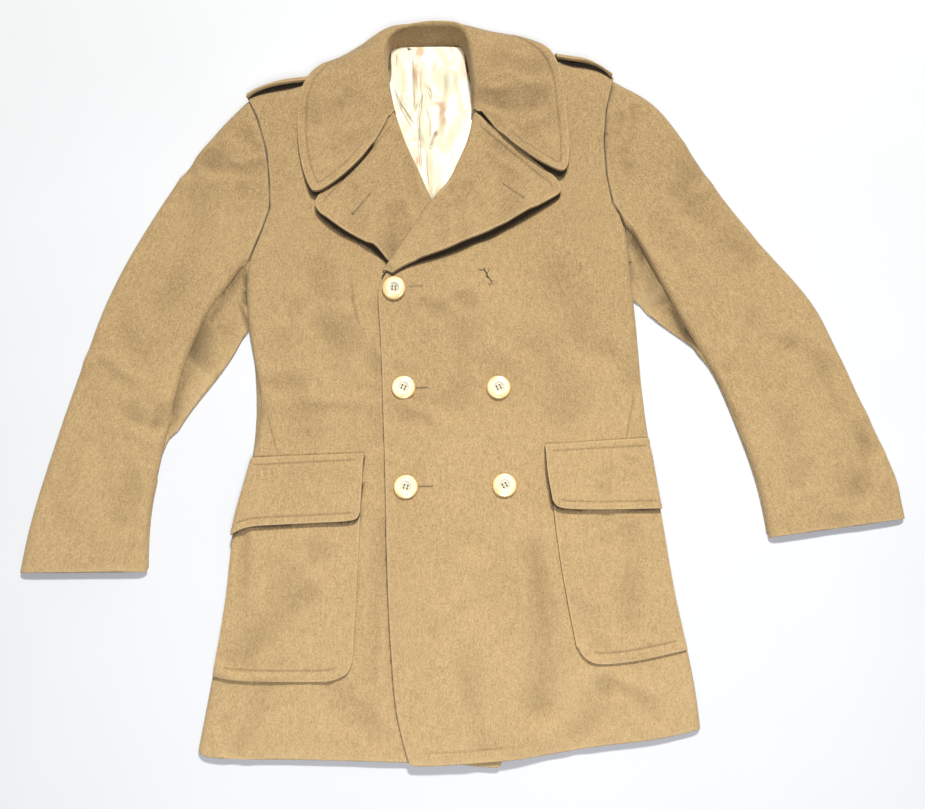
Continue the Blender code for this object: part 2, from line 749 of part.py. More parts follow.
def patch(name, shape, thickness, below, puff, lift):
    """A flat piece that lies on a front, with a round corner at its lower inner edge."""
    out = shape["out"]
    body_side = RIGHT_SIDE if out < 0 else LEFT_SIDE
    inner, low, high = shape["inner"], shape["low"], shape["top"]
    corner = shape["corner"]

    def outer(y):
        return body_side.at(y, "x") - out * shape["inset"]

    def hem(x):
        corner_x = inner.at(inner.rows[0][0], "x")
        short = max(0.0, corner - (x - corner_x) * out)
        cut = corner - math.sqrt(max(corner ** 2 - min(short, corner) ** 2, 0.0))
        return low.at(x * out, "y") + cut

    def lying(across, down, above):
        x, y = panel_point(
            across, 1 - down, outer, lambda y: inner.at(y, "x"), hem,
            lambda x: high.at(x * out, "y"),
        )
        swell = puff * math.sin(math.pi * across) * math.sin(math.pi * down)
        rest = body_top(x, y) + GAP + LAY + below(y)
        return x, y, rest + swell + lift * down ** 2 + above

    across, up = spaced(7, start=0.05, end=0.04, fine=2), spaced(8, start=0.0, end=0.05, fine=2)
    slab(
        name, WOOL, across, up,
        lambda a, d: lying(a, d, thickness), lambda a, d: lying(a, d, 0),
    )


def pockets():
    """Patch pockets and the flaps over their mouths."""
    for side, pocket_shape, flap_shape in (
        ("right", RIGHT_POCKET, RIGHT_FLAP), ("left", LEFT_POCKET, LEFT_FLAP),
    ):
        mouth = pocket_shape["top"].rows[0][1]
        patch("pocket_" + side, pocket_shape, POCKET, lambda y: 0.0, POCKET_PUFF, 0.0)

        def over_mouth(y, mouth=mouth):
            return (POCKET + GAP + POCKET_PUFF) * (1 - smooth(mouth + 2, mouth + 14, y))

        patch("flap_" + side, flap_shape, FLAP, over_mouth, 0.0, FLAP_LIFT)


def shoulder_loop(name, outer_x, inner_x):
    """A loop of cloth behind the shoulder's crest, its front edge arched off the coat."""

    def place(across, along_loop):
        x = mix(outer_x, inner_x, along_loop)
        arch = LOOP_ARCH * math.sin(math.pi * along_loop ** 1.3) ** 0.8
        clear = GAP + LAY + LOOP + arch * (1 - across)
        angle = math.radians(mix(LOOP_FRONT, LOOP_REAR, across))
        y = CREST.at(x, "y") + (RIDGE_DEPTH + clear) * math.sin(angle)
        return x, y, (RIDGE + clear) * math.cos(angle)

    wall(name, WOOL, spaced(8), spaced(10), place, LOOP)


def button_mesh():
    """A four-hole button with a dished middle and a broad rim, its back at Z = 0."""
    radius, face = BUTTON_D / 2, BUTTON_T * 0.6
    profile = [
        (0, face), (radius * 0.36, face), (radius * 0.5, BUTTON_T),
        (radius * 0.86, BUTTON_T * 0.88), (radius, BUTTON_T * 0.5), (radius * 0.84, 0), (0, 0),
    ]
    outline = bpy.data.meshes.new("button_outline")
    points = [Vector((x, 0, z)) * MM for x, z in profile]
    outline.from_pydata(points, [(k, k + 1) for k in range(len(points) - 1)], [])
    turned = bpy.data.objects.new("button_turned", outline)
    CUTTERS.objects.link(turned)
    screw = turned.modifiers.new("turn", "SCREW")
    screw.steps = screw.render_steps = 18
    screw.use_merge_vertices = True
    screw.merge_threshold = 0.00001

    drills = bmesh.new()
    for k in range(4):
        turn = math.radians(45 + 90 * k)
        place = Vector((math.cos(turn), math.sin(turn), 0)) * BUTTON_HOLE_PITCH / math.sqrt(2)
        bmesh.ops.create_cone(
            drills, cap_ends=True, segments=6, radius1=BUTTON_HOLE_D / 2 * MM,
            radius2=BUTTON_HOLE_D / 2 * MM, depth=3 * BUTTON_T * MM,
            matrix=Matrix.Translation(place * MM),
        )
    drill_data = bpy.data.meshes.new("button_drills")
    drills.to_mesh(drill_data)
    drills.free()
    drill = bpy.data.objects.new("button_drills", drill_data)
    drill.hide_render = True
    drill.display_type = "WIRE"
    CUTTERS.objects.link(drill)
    holes = turned.modifiers.new("holes", "BOOLEAN")
    holes.operation = "DIFFERENCE"
    holes.object = drill

    graph = bpy.context.evaluated_depsgraph_get()
    data = bpy.data.meshes.new_from_object(turned.evaluated_get(graph))
    for thing in (turned, drill):
        bpy.data.objects.remove(thing)
    data.materials.clear()
    data.materials.append(HORN)
    data.shade_smooth()
    data.set_sharp_from_angle(angle=math.radians(35))
    return data


def buttons():
    """The buttons, each lying level with the cloth under it."""
    data = button_mesh()
    for name, (x, y) in BUTTONS.items():
        reach = BUTTON_D * 0.4
        slope_x = (body_top(x + reach, y) - body_top(x - reach, y)) / (2 * reach)
        slope_y = (body_top(x, y + reach) - body_top(x, y - reach)) / (2 * reach)
        rest = body_top(x, y)
        for k in range(16):
            ring = BUTTON_D * (0.42 if k % 2 else 0.22)
            dx, dy = ring * math.cos(k * math.pi / 8), ring * math.sin(k * math.pi / 8)
            plane = slope_x * dx + slope_y * dy
            rest = max(rest, body_top(x + dx, y + dy) - plane)
        button = bpy.data.objects.new(name, data)
        button.location = Vector((x, y, rest + BUTTON_SEAT)) * MM
        normal = Vector((-slope_x, -slope_y, 1))
        button.rotation_mode = "QUATERNION"
        button.rotation_quaternion = Vector((0, 0, 1)).rotation_difference(normal)
        COAT.objects.link(button)


def build():
    back_panel()
    back_lining()
    front("front_right", RIGHT_SIDE, RIGHT_EDGE, "right", -NOSE, right_top, single_under)
    front("front_left", LEFT_SIDE, LEFT_EDGE, "left", NOSE, left_top, left_under)
    lapel("lapel_right", RIGHT_LAPEL, RIGHT_EDGE, right_top, single_under)
    lapel("lapel_left", LEFT_LAPEL, LEFT_EDGE, left_top, left_under)
    collar()
    sleeve("sleeve_right", "under_sleeve_right", RIGHT_SLEEVE)
    sleeve("sleeve_left", "under_sleeve_left", LEFT_SLEEVE)
    pockets()
    for side, (outer_x, inner_x) in LOOPS.items():
        shoulder_loop("shoulder_loop_" + side, outer_x, inner_x)
    buttons()


COAT, CUTTERS = fresh_collections()
WOOL = material("wool", WOOL_RGB, 0.95)
SATIN = material("satin_lining", LINING_RGB, 0.35)
HORN = material("button", BUTTON_RGB, 0.25)
build()
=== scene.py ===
"""A wool mackinaw coat laid flat on its back: cloth, sewing, buttons, light and camera.

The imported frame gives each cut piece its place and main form. This script makes the cloth
of it, with its creases, rounded edges, topstitching, buttonholes and turned buttons.
Tables are in millimetres in the frame's axes, and MM turns them into the scene's metres.
The wearer's right is at -X and the neck at +Y.
"""

import functools
import logging
import math
from contextlib import contextmanager
from dataclasses import dataclass
from enum import Enum
from typing import Iterator

import bmesh
import bpy
import numpy as np
from mathutils import Matrix, Vector, noise
from mathutils.bvhtree import BVHTree
from mathutils.kdtree import KDTree


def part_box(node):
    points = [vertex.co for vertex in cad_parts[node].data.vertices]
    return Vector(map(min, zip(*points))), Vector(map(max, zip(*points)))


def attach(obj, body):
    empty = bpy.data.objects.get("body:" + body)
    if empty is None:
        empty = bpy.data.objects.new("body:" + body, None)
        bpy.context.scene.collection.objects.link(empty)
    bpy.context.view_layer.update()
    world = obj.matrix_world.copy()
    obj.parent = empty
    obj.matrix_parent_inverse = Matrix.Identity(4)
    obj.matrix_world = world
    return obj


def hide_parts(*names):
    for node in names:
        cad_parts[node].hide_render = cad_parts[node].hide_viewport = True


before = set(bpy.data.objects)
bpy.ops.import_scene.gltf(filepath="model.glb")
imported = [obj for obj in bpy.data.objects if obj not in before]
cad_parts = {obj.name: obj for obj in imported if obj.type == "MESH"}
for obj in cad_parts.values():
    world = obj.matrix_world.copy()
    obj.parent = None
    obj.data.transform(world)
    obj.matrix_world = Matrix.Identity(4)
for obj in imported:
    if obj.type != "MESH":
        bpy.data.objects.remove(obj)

LOG = logging.getLogger("mackinaw")
MM = 0.001
SHARP = math.radians(50)        # where two faces of a cut piece meet as an edge
EDGE_FIRMNESS = 0.5             # how crisp the folded edges of the cloth stay
CREASE_PRESS = 3.4              # how much deeper than in their tables the creases lie
BROAD = 11.0                    # how wide a crease is that lies as deep as that
LEAST, MOST = 0.45, 1.1         # shares of that for the narrowest and the broadest
COLLAR_STITCH = 10.5            # how far inside an edge the topstitching runs
POCKET_STITCH = 11.8
FLAP_STITCH = 9.0
FAR = 40.0                      # as far as distances from an edge are told
SHADE = 0.032                   # painted shade: how much a millimetre of trough darkens the cloth's colour
COVER = 24.0                    # how far above a layer the next one still paints shade on it
SKYWARD = (                     # slopes of the looks upwards that find where shade is painted
    (0, 0), (0, 0.2), (0, 0.4), (0, 0.6), (0, 0.85), (0, 1.1), (0.35, 0.2), (-0.35, 0.2),
)
NECK_BARE = 17.0                # how far from an unsewn edge there is no stitching
RIM_REACH = 7.0                 # how near a line of the plan the rim is the one it names
LAST_STITCH = 1.6               # what is left bare at the end of a seam
SHORT_LINE = 4                  # points of a line that is too short to be sewn
STITCH_PITCH = 3.6              # from one stitch to the next
STITCH_LENGTH = 2.7
THREAD = 0.55                   # thickness of the sewing thread


class Slot(Enum):
    """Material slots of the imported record."""

    WOOL = "wool"
    LINING = "lining"
    BUTTON = "button"


class Held(Enum):
    """How a sheet of cloth is held."""

    LAID = "laid"
    FOLDED = "folded"


class Grain(Enum):
    """How the grain of the wool lies, in degrees."""

    BODY = 0
    RIGHT_ARM = 19
    LEFT_ARM = -26
    TURNED = 35


# Finishes ---------------------------------------------------------------------------


class Nodes:
    """A material's node tree, with the few nodes that the finishes are made of."""

    def __init__(self, name: str, roughness: float) -> None:
        """Start a material.

        Args:
            name: The material's name.
            roughness: Roughness of its surface.
        """
        self.material = bpy.data.materials.new(name)
        self.material.use_nodes = True
        self.tree = self.material.node_tree
        self.shader = self.tree.nodes["Principled BSDF"]
        self.shader.inputs["Roughness"].default_value = roughness

    def add(self, kind: str, **inputs: object) -> bpy.types.Node:
        """Add a node.

        Args:
            kind: The node's type, without ShaderNode.
            inputs: Values or sockets for its inputs, by name.
        Returns:
            The new node.
        """
        node = self.tree.nodes.new("ShaderNode" + kind)
        self.fill(node, inputs)
        return node

    def surface(self, **inputs: object) -> None:
        """Give the shader's inputs values or sockets, by name."""
        self.fill(self.shader, inputs)

    def fill(self, node: bpy.types.Node, inputs: dict) -> None:
        """Give a node's inputs values or sockets, by name."""
        for name, value in inputs.items():
            self.put(node.inputs[name.replace("_", " ")], value)

    def put(self, socket: bpy.types.NodeSocket, value: object) -> None:
        """Give an input a value, or link a socket to it.

        Args:
            socket: The input.
            value: The value or socket.
        """
        if isinstance(value, bpy.types.NodeSocket):
            self.tree.links.new(value, socket)
        else:
            socket.default_value = (*value, 1) if socket.type == "RGBA" else value

    def place(self, turn: float = 0.0, scale: tuple = (1, 1, 1)) -> bpy.types.NodeSocket:
        """Object coordinates, turned about Z and scaled.

        Args:
            turn: Angle in degrees.
            scale: Scale along each axis.
        Returns:
            The mapped coordinates.
        """
        coordinates = self.add("TexCoord").outputs["Object"]
        turned = self.add("Mapping", Vector=coordinates, Rotation=(0, 0, math.radians(turn)))
        return self.add("Mapping", Vector=turned.outputs[0], Scale=scale).outputs[0]

    def cloud(self, vector: object, scale: float, detail: float = 3.0) -> bpy.types.NodeSocket:
        """A noise, from 0 to 1.

        Args:
            vector: Where it is read.
            scale: Its scale.
            detail: Its finer octaves.
        Returns:
            The noise.
        """
        return self.add(
            "TexNoise", Vector=vector, Scale=scale, Detail=detail, Roughness=0.6
        ).outputs[0]

    def span(self, value: object, *range_: float) -> bpy.types.NodeSocket:
        """Map a value from a range to a range, clamped.

        Args:
            value: The socket to map.
            range_: From low, from high, to low, to high.
        Returns:
            The mapped value.
        """
        node = self.add("MapRange", Value=value)
        for k, number in enumerate(range_):
            node.inputs[k + 1].default_value = number
        return node.outputs[0]

    def sum(self, *terms: tuple) -> bpy.types.NodeSocket:
        """Weighted sum of sockets.

        Args:
            terms: Pairs of a socket and its weight.
        Returns:
            The sum.
        """
        total = None
        for socket, weight in terms:
            node = self.add("Math")
            node.operation = "MULTIPLY_ADD"
            self.put(node.inputs[0], socket)
            node.inputs[1].default_value = weight
            self.put(node.inputs[2], 0.0 if total is None else total)
            total = node.outputs[0]
        return total

    def ramp(self, value: object, *stops: tuple) -> bpy.types.NodeSocket:
        """Colours along a value.

        Args:
            value: The socket that runs from 0 to 1.
            stops: A position and a colour for each.
        Returns:
            The colour.
        """
        node = self.add("ValToRGB", Fac=value)
        band = node.color_ramp
        while len(band.elements) < len(stops):
            band.elements.new(0.5)
        for element, (position, colour) in zip(band.elements, stops):
            element.position = position
            element.color = (*colour, 1)
        return node.outputs[0]

    def blend(self, share: object, first: object, second: object) -> bpy.types.NodeSocket:
        """Mix two colours.

        Args:
            share: How much of the second.
            first: The first colour.
            second: The second colour.
        Returns:
            The mixed colour.
        """
        node = self.add("Mix")
        node.data_type = "RGBA"
        for k, value in ((0, share), (6, first), (7, second)):
            self.put(node.inputs[k], value)
        return node.outputs[2]

    def named(self, attribute: str) -> bpy.types.NodeSocket:
        """Value of a mesh's own attribute.

        Args:
            attribute: Its name.
        Returns:
            The value.
        """
        node = self.add("Attribute")
        node.attribute_name = attribute
        return node.outputs["Fac"]

    def tint(self, base: object, name: str, most: float, colour: tuple) -> bpy.types.NodeSocket:
        """Mix a colour in where an attribute says so.

        Args:
            base: The colour below.
            name: The attribute, from 0 to 1.
            most: The share of the colour at 1.
            colour: The colour that is mixed in.
        Returns:
            The mixed colour.
        """
        return self.blend(self.span(self.named(name), 0, 1, 0, most), base, colour)

    def bump(self, height: object, strength: float, depth: float) -> None:
        """Raise the surface.

        Args:
            height: The height, from 0 to 1.
            strength: The bump's strength.
            depth: Its depth in metres.
        """
        node = self.add("Bump", Height=height, Strength=strength, Distance=depth)
        self.surface(Normal=node.outputs[0])


@dataclass(frozen=True)
class NappedWool:
    """Khaki melton: a felted nap over a faint grain, lighter where edges are worn and with painted
    highlight there, with painted shade, and with painted light that grows paler towards the hem.
    """

    grain: float = 0.0
    dark: tuple = (0.270, 0.176, 0.080)
    middle: tuple = (0.430, 0.293, 0.140)
    light: tuple = (0.560, 0.400, 0.205)
    # worn edges, and a painted highlight on top of them
    worn: tuple = (0.600, 0.440, 0.240)
    # near black, mixed in where shade is painted
    sunk: tuple = (0.010, 0.006, 0.003)

    def material(self) -> bpy.types.Material:
        """Mix the finish.

        Returns:
            The finished material.
        """
        nodes = Nodes(f"napped_wool_{self.grain:g}", 0.93)
        grains, streaks, fibres, tufts = (
            nodes.cloud(nodes.place(self.grain, (1.0, along, 1.0)), scale, detail)
            for along, scale, detail in (
                (0.62, 680, 3), (0.28, 420, 3), (1.0, 1500, 2), (0.7, 120, 2),
            )
        )
        patches = nodes.cloud(nodes.place(), 8, 2)
        tone = nodes.sum(
            (grains, 0.50), (streaks, 0.22), (fibres, 0.22), (tufts, 0.08), (patches, 0.10)
        )
        tone = nodes.span(nodes.sum((tone, 1.0), (self.faded(nodes), 1.0)), 0.40, 0.72, 0, 1)
        colour = nodes.ramp(tone, (0.0, self.dark), (0.5, self.middle), (1.0, self.light))
        colour = nodes.tint(colour, "wear", 0.35, self.worn)
        nodes.bump(nodes.sum((grains, 0.6), (streaks, 0.25), (fibres, 0.3)), 0.7, 0.0012)
        nodes.surface(
            Base_Color=nodes.tint(colour, "sunk", 0.93, self.sunk), Sheen_Weight=0.22,
            Sheen_Roughness=0.55, Sheen_Tint=(1.0, 0.9, 0.72), Specular_IOR_Level=0.18,
        )
        return nodes.material

    def faded(self, nodes: Nodes) -> bpy.types.NodeSocket:
        """Painted light: the cloth paler towards the hem and darker towards the collar, as the
        light falls.
        """
        along = nodes.add("SeparateXYZ", Vector=nodes.place()).outputs["Y"]
        return nodes.span(along, -0.42, 0.46, 0.045, -0.080)


@dataclass(frozen=True)
class SatinLining:
    """Cream satin with tan stains, and painted shade in its folds."""

    cream: tuple = (0.840, 0.765, 0.575)
    shade: tuple = (0.720, 0.640, 0.440)
    stain: tuple = (0.600, 0.415, 0.270)
    # painted shade in the folds
    fold: tuple = (0.130, 0.085, 0.045)

    def material(self) -> bpy.types.Material:
        """Mix the finish.

        Returns:
            The finished material.
        """
        nodes = Nodes("satin_lining", 0.36)
        weave = nodes.cloud(nodes.place(0, (1.0, 0.2, 1.0)), 1300, 2)
        cloudy = nodes.cloud(nodes.place(0, (1.0, 0.4, 1.0)), 60, 4)
        rumpled = nodes.cloud(nodes.place(8, (1.0, 0.25, 1.0)), 190, 3)
        ragged = nodes.sum((nodes.named("stain"), 1.0), (nodes.cloud(nodes.place(), 110, 4), 0.9))
        colour = nodes.blend(nodes.span(cloudy, 0.35, 0.70, 0, 1), self.cream, self.shade)
        colour = nodes.blend(nodes.span(ragged, 0.50, 1.25, 0, 0.95), colour, self.stain)
        nodes.bump(nodes.sum((weave, 0.25), (rumpled, 0.75)), 0.5, 0.0012)
        nodes.surface(
            Base_Color=nodes.tint(colour, "sunk", 0.85, self.fold),
            Roughness=nodes.span(cloudy, 0.3, 0.7, 0.28, 0.46), Anisotropic=0.5, Sheen_Weight=0.15,
        )
        return nodes.material


@dataclass(frozen=True)
class TurnedHorn:
    """Polished button stuff: cream and milky, amber in clouds and towards the rim, with painted
    shade in its sunken dish.
    """

    # painted shade in the sunken dish
    dish: tuple = (0.640, 0.590, 0.430)
    cream: tuple = (0.930, 0.850, 0.620)
    flange: tuple = (0.900, 0.770, 0.480)
    amber: tuple = (0.820, 0.560, 0.210)
    rim: tuple = (0.640, 0.400, 0.140)

    def material(self) -> bpy.types.Material:
        """Mix the finish.

        Returns:
            The finished material.
        """
        nodes = Nodes("turned_button", 0.22)
        swirl = nodes.cloud(nodes.place(25, (1.0, 0.5, 1.0)), 75, 3)
        specks = nodes.cloud(nodes.place(), 900, 3)
        colour = nodes.ramp(
            nodes.sum((nodes.named("rim"), 1.0), (specks, 0.06)),
            (0.0, self.dish), (0.40, self.dish), (0.50, self.cream), (0.62, self.cream),
            (0.86, self.flange), (1.0, self.rim),
        )
        clouded = nodes.blend(nodes.span(swirl, 0.42, 0.62, 0, 0.75), colour, self.amber)
        outer = nodes.span(nodes.named("rim"), 0.50, 0.68, 0, 1)
        nodes.bump(nodes.sum((swirl, 0.5), (specks, 0.5)), 0.06, 0.0003)
        nodes.surface(
            Base_Color=nodes.blend(outer, colour, clouded), Coat_Weight=0.6, Coat_Roughness=0.08,
            Roughness=nodes.span(specks, 0.3, 0.7, 0.15, 0.30),
        )
        return nodes.material


@dataclass(frozen=True)
class SpunThread:
    """Twisted sewing thread of one colour."""

    name: str
    dark: tuple
    light: tuple

    def material(self) -> bpy.types.Material:
        """Mix the finish.

        Returns:
            The finished material.
        """
        nodes = Nodes(self.name, 0.8)
        twist = nodes.cloud(nodes.place(35, (1.0, 3.0, 1.0)), 1800, 2)
        colour = nodes.ramp(nodes.span(twist, 0.3, 0.7, 0, 1), (0.0, self.dark), (1.0, self.light))
        nodes.bump(twist, 0.5, 0.0002)
        nodes.surface(Base_Color=colour, Sheen_Weight=0.3)
        return nodes.material


# Tools of the cutting table -----------------------------------------------------------


def pick_only(piece: bpy.types.Object) -> None:
    """Deselect everything, then select a piece and make it active.

    Args:
        piece: The object.
    """
    bpy.ops.object.select_all(action="DESELECT")
    piece.select_set(True)
    bpy.context.view_layer.objects.active = piece


@contextmanager
def edit_mode(piece: bpy.types.Object) -> Iterator[None]:
    """Edit mode on a piece with its whole mesh selected.

    Args:
        piece: The object.
    """
    pick_only(piece)
    bpy.ops.object.mode_set(mode="EDIT")
    bpy.ops.mesh.select_all(action="SELECT")
    try:
        yield
    finally:
        bpy.ops.object.mode_set(mode="OBJECT")


def apply_modifier(piece: bpy.types.Object, kind: str, **settings: object) -> None:
    """Add a modifier with its settings and apply it.

    Args:
        piece: The object.
        kind: The modifier's type.
        settings: Its settings.
    """
    pick_only(piece)
    modifier = piece.modifiers.new(kind.lower(), kind)
    for name, value in settings.items():
        setattr(modifier, name, value)
    bpy.ops.object.modifier_apply(modifier=modifier.name)


def add_object(name: str, data: object) -> bpy.types.Object:
    """A new object in the scene.

    Args:
        name: Its name.
        data: Its mesh, light or camera.
    Returns:
        The object.
    """
    piece = bpy.data.objects.new(name, data)
    bpy.context.scene.collection.objects.link(piece)
    return piece


def declare(piece: bpy.types.Object, node: str = "") -> None:
    """Make a piece ride on the coat, and hide the solid that it replaces.

    Args:
        piece: The piece.
        node: The solid that it replaces, if any.
    """
    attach(piece, "root")
    if node:
        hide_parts(node)


@contextmanager
def loose_mesh(data: bpy.types.Mesh) -> Iterator[bmesh.types.BMesh]:
    """A mesh taken apart for editing, and put back.

    Args:
        data: The mesh.
    Yields:
        The mesh while it is apart.
    """
    mesh = bmesh.new()
    mesh.from_mesh(data)
    yield mesh
    mesh.to_mesh(data)
    mesh.free()


def tree_from(data: bpy.types.Mesh) -> BVHTree:
    """A mesh's surface, for looking up its nearest point or what a ray meets."""
    return BVHTree.FromPolygons([v.co for v in data.vertices], [f.vertices for f in data.polygons])


@functools.lru_cache(maxsize=None)
def tree_of(node: str) -> BVHTree:
    """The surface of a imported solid."""
    return tree_from(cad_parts[node].data)


def ease(low: float, high: float, value: np.ndarray) -> np.ndarray:
    """Smooth step of values, from 0 at low to 1 at high."""
    t = np.clip((value - low) / (high - low), 0, 1)
    return t * t * (3 - 2 * t)


def bell(off: np.ndarray, width: float | np.ndarray) -> np.ndarray:
    """A bell that is 1 at 0, and 1 / e at its width."""
    return np.exp(-((off / width) ** 2))


def read(items: object, field: str, wide: int, kind: type = np.float32) -> np.ndarray:
    """A field of all items of a mesh, a row each.

    Args:
        items: The points, edges or the like.
        field: The name of the field.
        wide: How many numbers each has.
        kind: The kind of number.
    Returns:
        The rows.
    """
    flat = np.empty(wide * len(items), dtype=kind)
    items.foreach_get(field, flat)
    return flat.reshape(-1, wide)


def points_of(data: bpy.types.Mesh) -> np.ndarray:
    """A mesh's points, in millimetres."""
    return read(data.vertices, "co", 3).astype(np.float64) / MM


def move_points(data: bpy.types.Mesh, points: np.ndarray) -> None:
    """Put a mesh's points at places in millimetres."""
    data.vertices.foreach_set("co", (points * MM).astype(np.float32).ravel())
    data.update()


def normals_of(data: bpy.types.Mesh) -> np.ndarray:
    """A mesh's point normals."""
    return read(data.vertex_normals, "vector", 3).astype(np.float64)


def store(data: bpy.types.Mesh, name: str, values: np.ndarray) -> None:
    """Keep a value for each point of a mesh as an attribute."""
    layer = data.attributes.get(name) or data.attributes.new(name, "FLOAT", "POINT")
    layer.data.foreach_set("value", values.astype(np.float32))


def path_distance(points: np.ndarray, path: tuple | np.ndarray) -> tuple:
    """Distance of points from a line of straight steps.

    Args:
        points: The points, a row each.
        path: The line's points, a row each.
    Returns:
        The distances, and the share of the way along the line of the nearest places.
    """
    path = np.array(path, dtype=float)
    steps = np.diff(path, axis=0)
    lengths = np.linalg.norm(steps, axis=1)
    starts = np.concatenate(([0.0], np.cumsum(lengths)))
    best, share = np.full(len(points), np.inf), np.zeros(len(points))
    for start, step, length, before in zip(path, steps, lengths, starts):
        t = np.clip((points - start) @ step / length ** 2, 0, 1)
        off = np.linalg.norm(points - start - t[:, None] * step, axis=1)
        nearer = off < best
        best[nearer] = off[nearer]
        share[nearer] = (before + t * length)[nearer]
    return best, share / starts[-1]


def nearest_of(spots: np.ndarray, points: np.ndarray) -> tuple:
    """Distance of each point from the nearest of some spots, and that spot's number.

    Args:
        spots: The spots, a row each.
        points: The points, a row each.
    Returns:
        The distances and the numbers.
    """
    tree = KDTree(len(spots))
    for k, spot in enumerate(spots):
        tree.insert(spot, k)
    tree.balance()
    found = [tree.find(point) for point in points]
    return np.array([f[2] for f in found]), np.array([f[1] for f in found])


def resampled(path: np.ndarray, pitch: float) -> np.ndarray:
    """A line's points, spaced evenly at about a pitch.

    Args:
        path: The line's points, a row each.
        pitch: The distance wanted.
    Returns:
        The new points, a row each.
    """
    lengths = np.concatenate(([0.0], np.cumsum(np.linalg.norm(np.diff(path, axis=0), axis=1))))
    count = max(int(lengths[-1] / pitch), 1)
    at = np.linspace(0, lengths[-1], count + 1)
    return np.column_stack([np.interp(at, lengths, path[:, k]) for k in range(path.shape[1])])


def contour(data: bpy.types.Mesh, values: np.ndarray, level: float, bare: np.ndarray) -> list:
    """Lines on a mesh's upper side where a value has a level.

    Args:
        data: The mesh.
        values: The value at each point.
        level: The level.
        bare: Marks the points where no line runs.
    Returns:
        An array of points in millimetres for each line.
    """
    data.calc_loop_triangles()
    triangles = read(data.loop_triangles, "vertices", 3, np.int32)
    points = points_of(data)
    a, b, c = (points[triangles[:, k]] for k in range(3))
    upper = np.cross(b - a, c - a)[:, 2] > 0
    above = values[triangles] > level
    crossed = upper & above.any(axis=1) & ~above.all(axis=1) & ~bare[triangles].any(axis=1)
    links: dict = {}
    for triangle in triangles[crossed]:
        ends = []
        for first, second in ((0, 1), (1, 2), (2, 0)):
            pair = tuple(sorted((int(triangle[first]), int(triangle[second]))))
            if (values[pair[0]] > level) != (values[pair[1]] > level):
                ends.append(pair)
        for one, other in (ends, ends[::-1]):
            links.setdefault(one, []).append(other)

    def spot(pair: tuple) -> np.ndarray:
        """Where the line crosses the edge between two points."""
        low, high = values[pair[0]], values[pair[1]]
        t = (level - low) / (high - low)
        return points[pair[0]] * (1 - t) + points[pair[1]] * t

    lines, left = [], set(links)
    starts = [pair for pair, beside in links.items() if len(beside) == 1] + list(links)
    for pair in starts:
        if pair not in left:
            continue
        chain = [pair]
        left.discard(pair)
        while True:
            onward = [p for p in links[chain[-1]] if p in left]
            if not onward:
                break
            chain.append(onward[0])
            left.discard(onward[0])
        if len(chain) > SHORT_LINE:
            lines.append(np.array([spot(p) for p in chain]))
    return lines


# Creases ------------------------------------------------------------------------------


@dataclass(frozen=True)
class Crease:
    """A soft trough in lying cloth, or a ridge where its depth is below 0."""

    x0: float
    y0: float
    x1: float
    y1: float
    bow: float
    width: float
    depth: float

    STEPS = 11                  # points of its bowed line
    REACH = 4.5                 # how many widths it reaches
    UNEVEN_DEPTH, DEPTH_WAVES = 0.28, 8.0
    UNEVEN_WIDTH, WIDTH_WAVES = 0.3, 5.0
    BANK, BANK_AT, BANK_WIDTH = 0.3, 1.9, 0.8   # the low ridges beside the trough

    def height(self, places: np.ndarray) -> np.ndarray:
        """Height that the crease adds.

        Args:
            places: Points of the plan, a row each.
        Returns:
            The height at each.
        """
        start = np.array((self.x0, self.y0))
        along = np.array((self.x1 - self.x0, self.y1 - self.y0))
        aside = np.array((-along[1], along[0])) / np.hypot(*along)
        t = np.linspace(0, 1, self.STEPS)[:, None]
        path = start + t * along + 4 * self.bow * t * (1 - t) * aside
        height = np.zeros(len(places))
        reach = self.REACH * self.width
        low, high = path.min(axis=0) - reach, path.max(axis=0) + reach
        near = np.all((places > low) & (places < high), axis=1)
        off, share = path_distance(places[near], path)
        uneven = 1 + self.UNEVEN_DEPTH * np.sin(self.DEPTH_WAVES * share + self.x0)
        width = self.width * (1 + self.UNEVEN_WIDTH * np.sin(self.WIDTH_WAVES * share + self.y0))
        bank = bell(off - self.BANK_AT * width, self.BANK_WIDTH * width)
        height[near] = self.depth * uneven * (self.BANK * bank - bell(off, width))
        return height


def creases(*rows: tuple) -> tuple:
    """Creases of a table with the columns x0 y0 x1 y1 bow width depth.

    Args:
        rows: The rows.
    Returns:
        The creases.
    """
    return tuple(
        Crease(*row[:-1], row[-1] * CREASE_PRESS * min(max(row[-2] / BROAD, LEAST), MOST))
        for row in rows
    )


@dataclass(frozen=True)
class Seam:
    """A line pressed into the cloth, a dart, a seam or a sharp fold, with shade painted along it.
    """

    path: tuple
    depth: float
    width: float
    # share of painted shade in its groove
    dark: float

    FADING, FADED = 5, 0.35     # how fast it fades at its ends, and what is left there
    BANK, BANK_AT, BANK_WIDTH = 0.3, 2.4, 1.3

    def press(self, plan: np.ndarray) -> tuple:
        """How deep the line is at points of the plan, and how much shade is painted in it.

        Args:
            plan: The points, a row each.
        Returns:
            The height that it adds and the painted shade at each.
        """
        off, share = path_distance(plan, self.path)
        fade = np.minimum(1.0, self.FADING * np.minimum(share, 1 - share) + self.FADED)
        groove = fade * bell(off, self.width)
        bank = fade * bell(off - self.BANK_AT * self.width, self.BANK_WIDTH * self.width)
        return self.depth * (self.BANK * bank - groove), self.dark * groove


@dataclass(frozen=True)
class Pull:
    """A place where the cloth is drawn aside, lifted or pressed down as one."""

    path: tuple
    reach: float
    shift: tuple

    def move(self, plan: np.ndarray) -> np.ndarray:
        """How far points are drawn.

        Args:
            plan: The points of the plan, a row each.
        Returns:
            The way in millimetres for each.
        """
        off, _ = path_distance(plan, self.path)
        return (1 - ease(0.0, self.reach, off))[:, None] * np.array(self.shift)


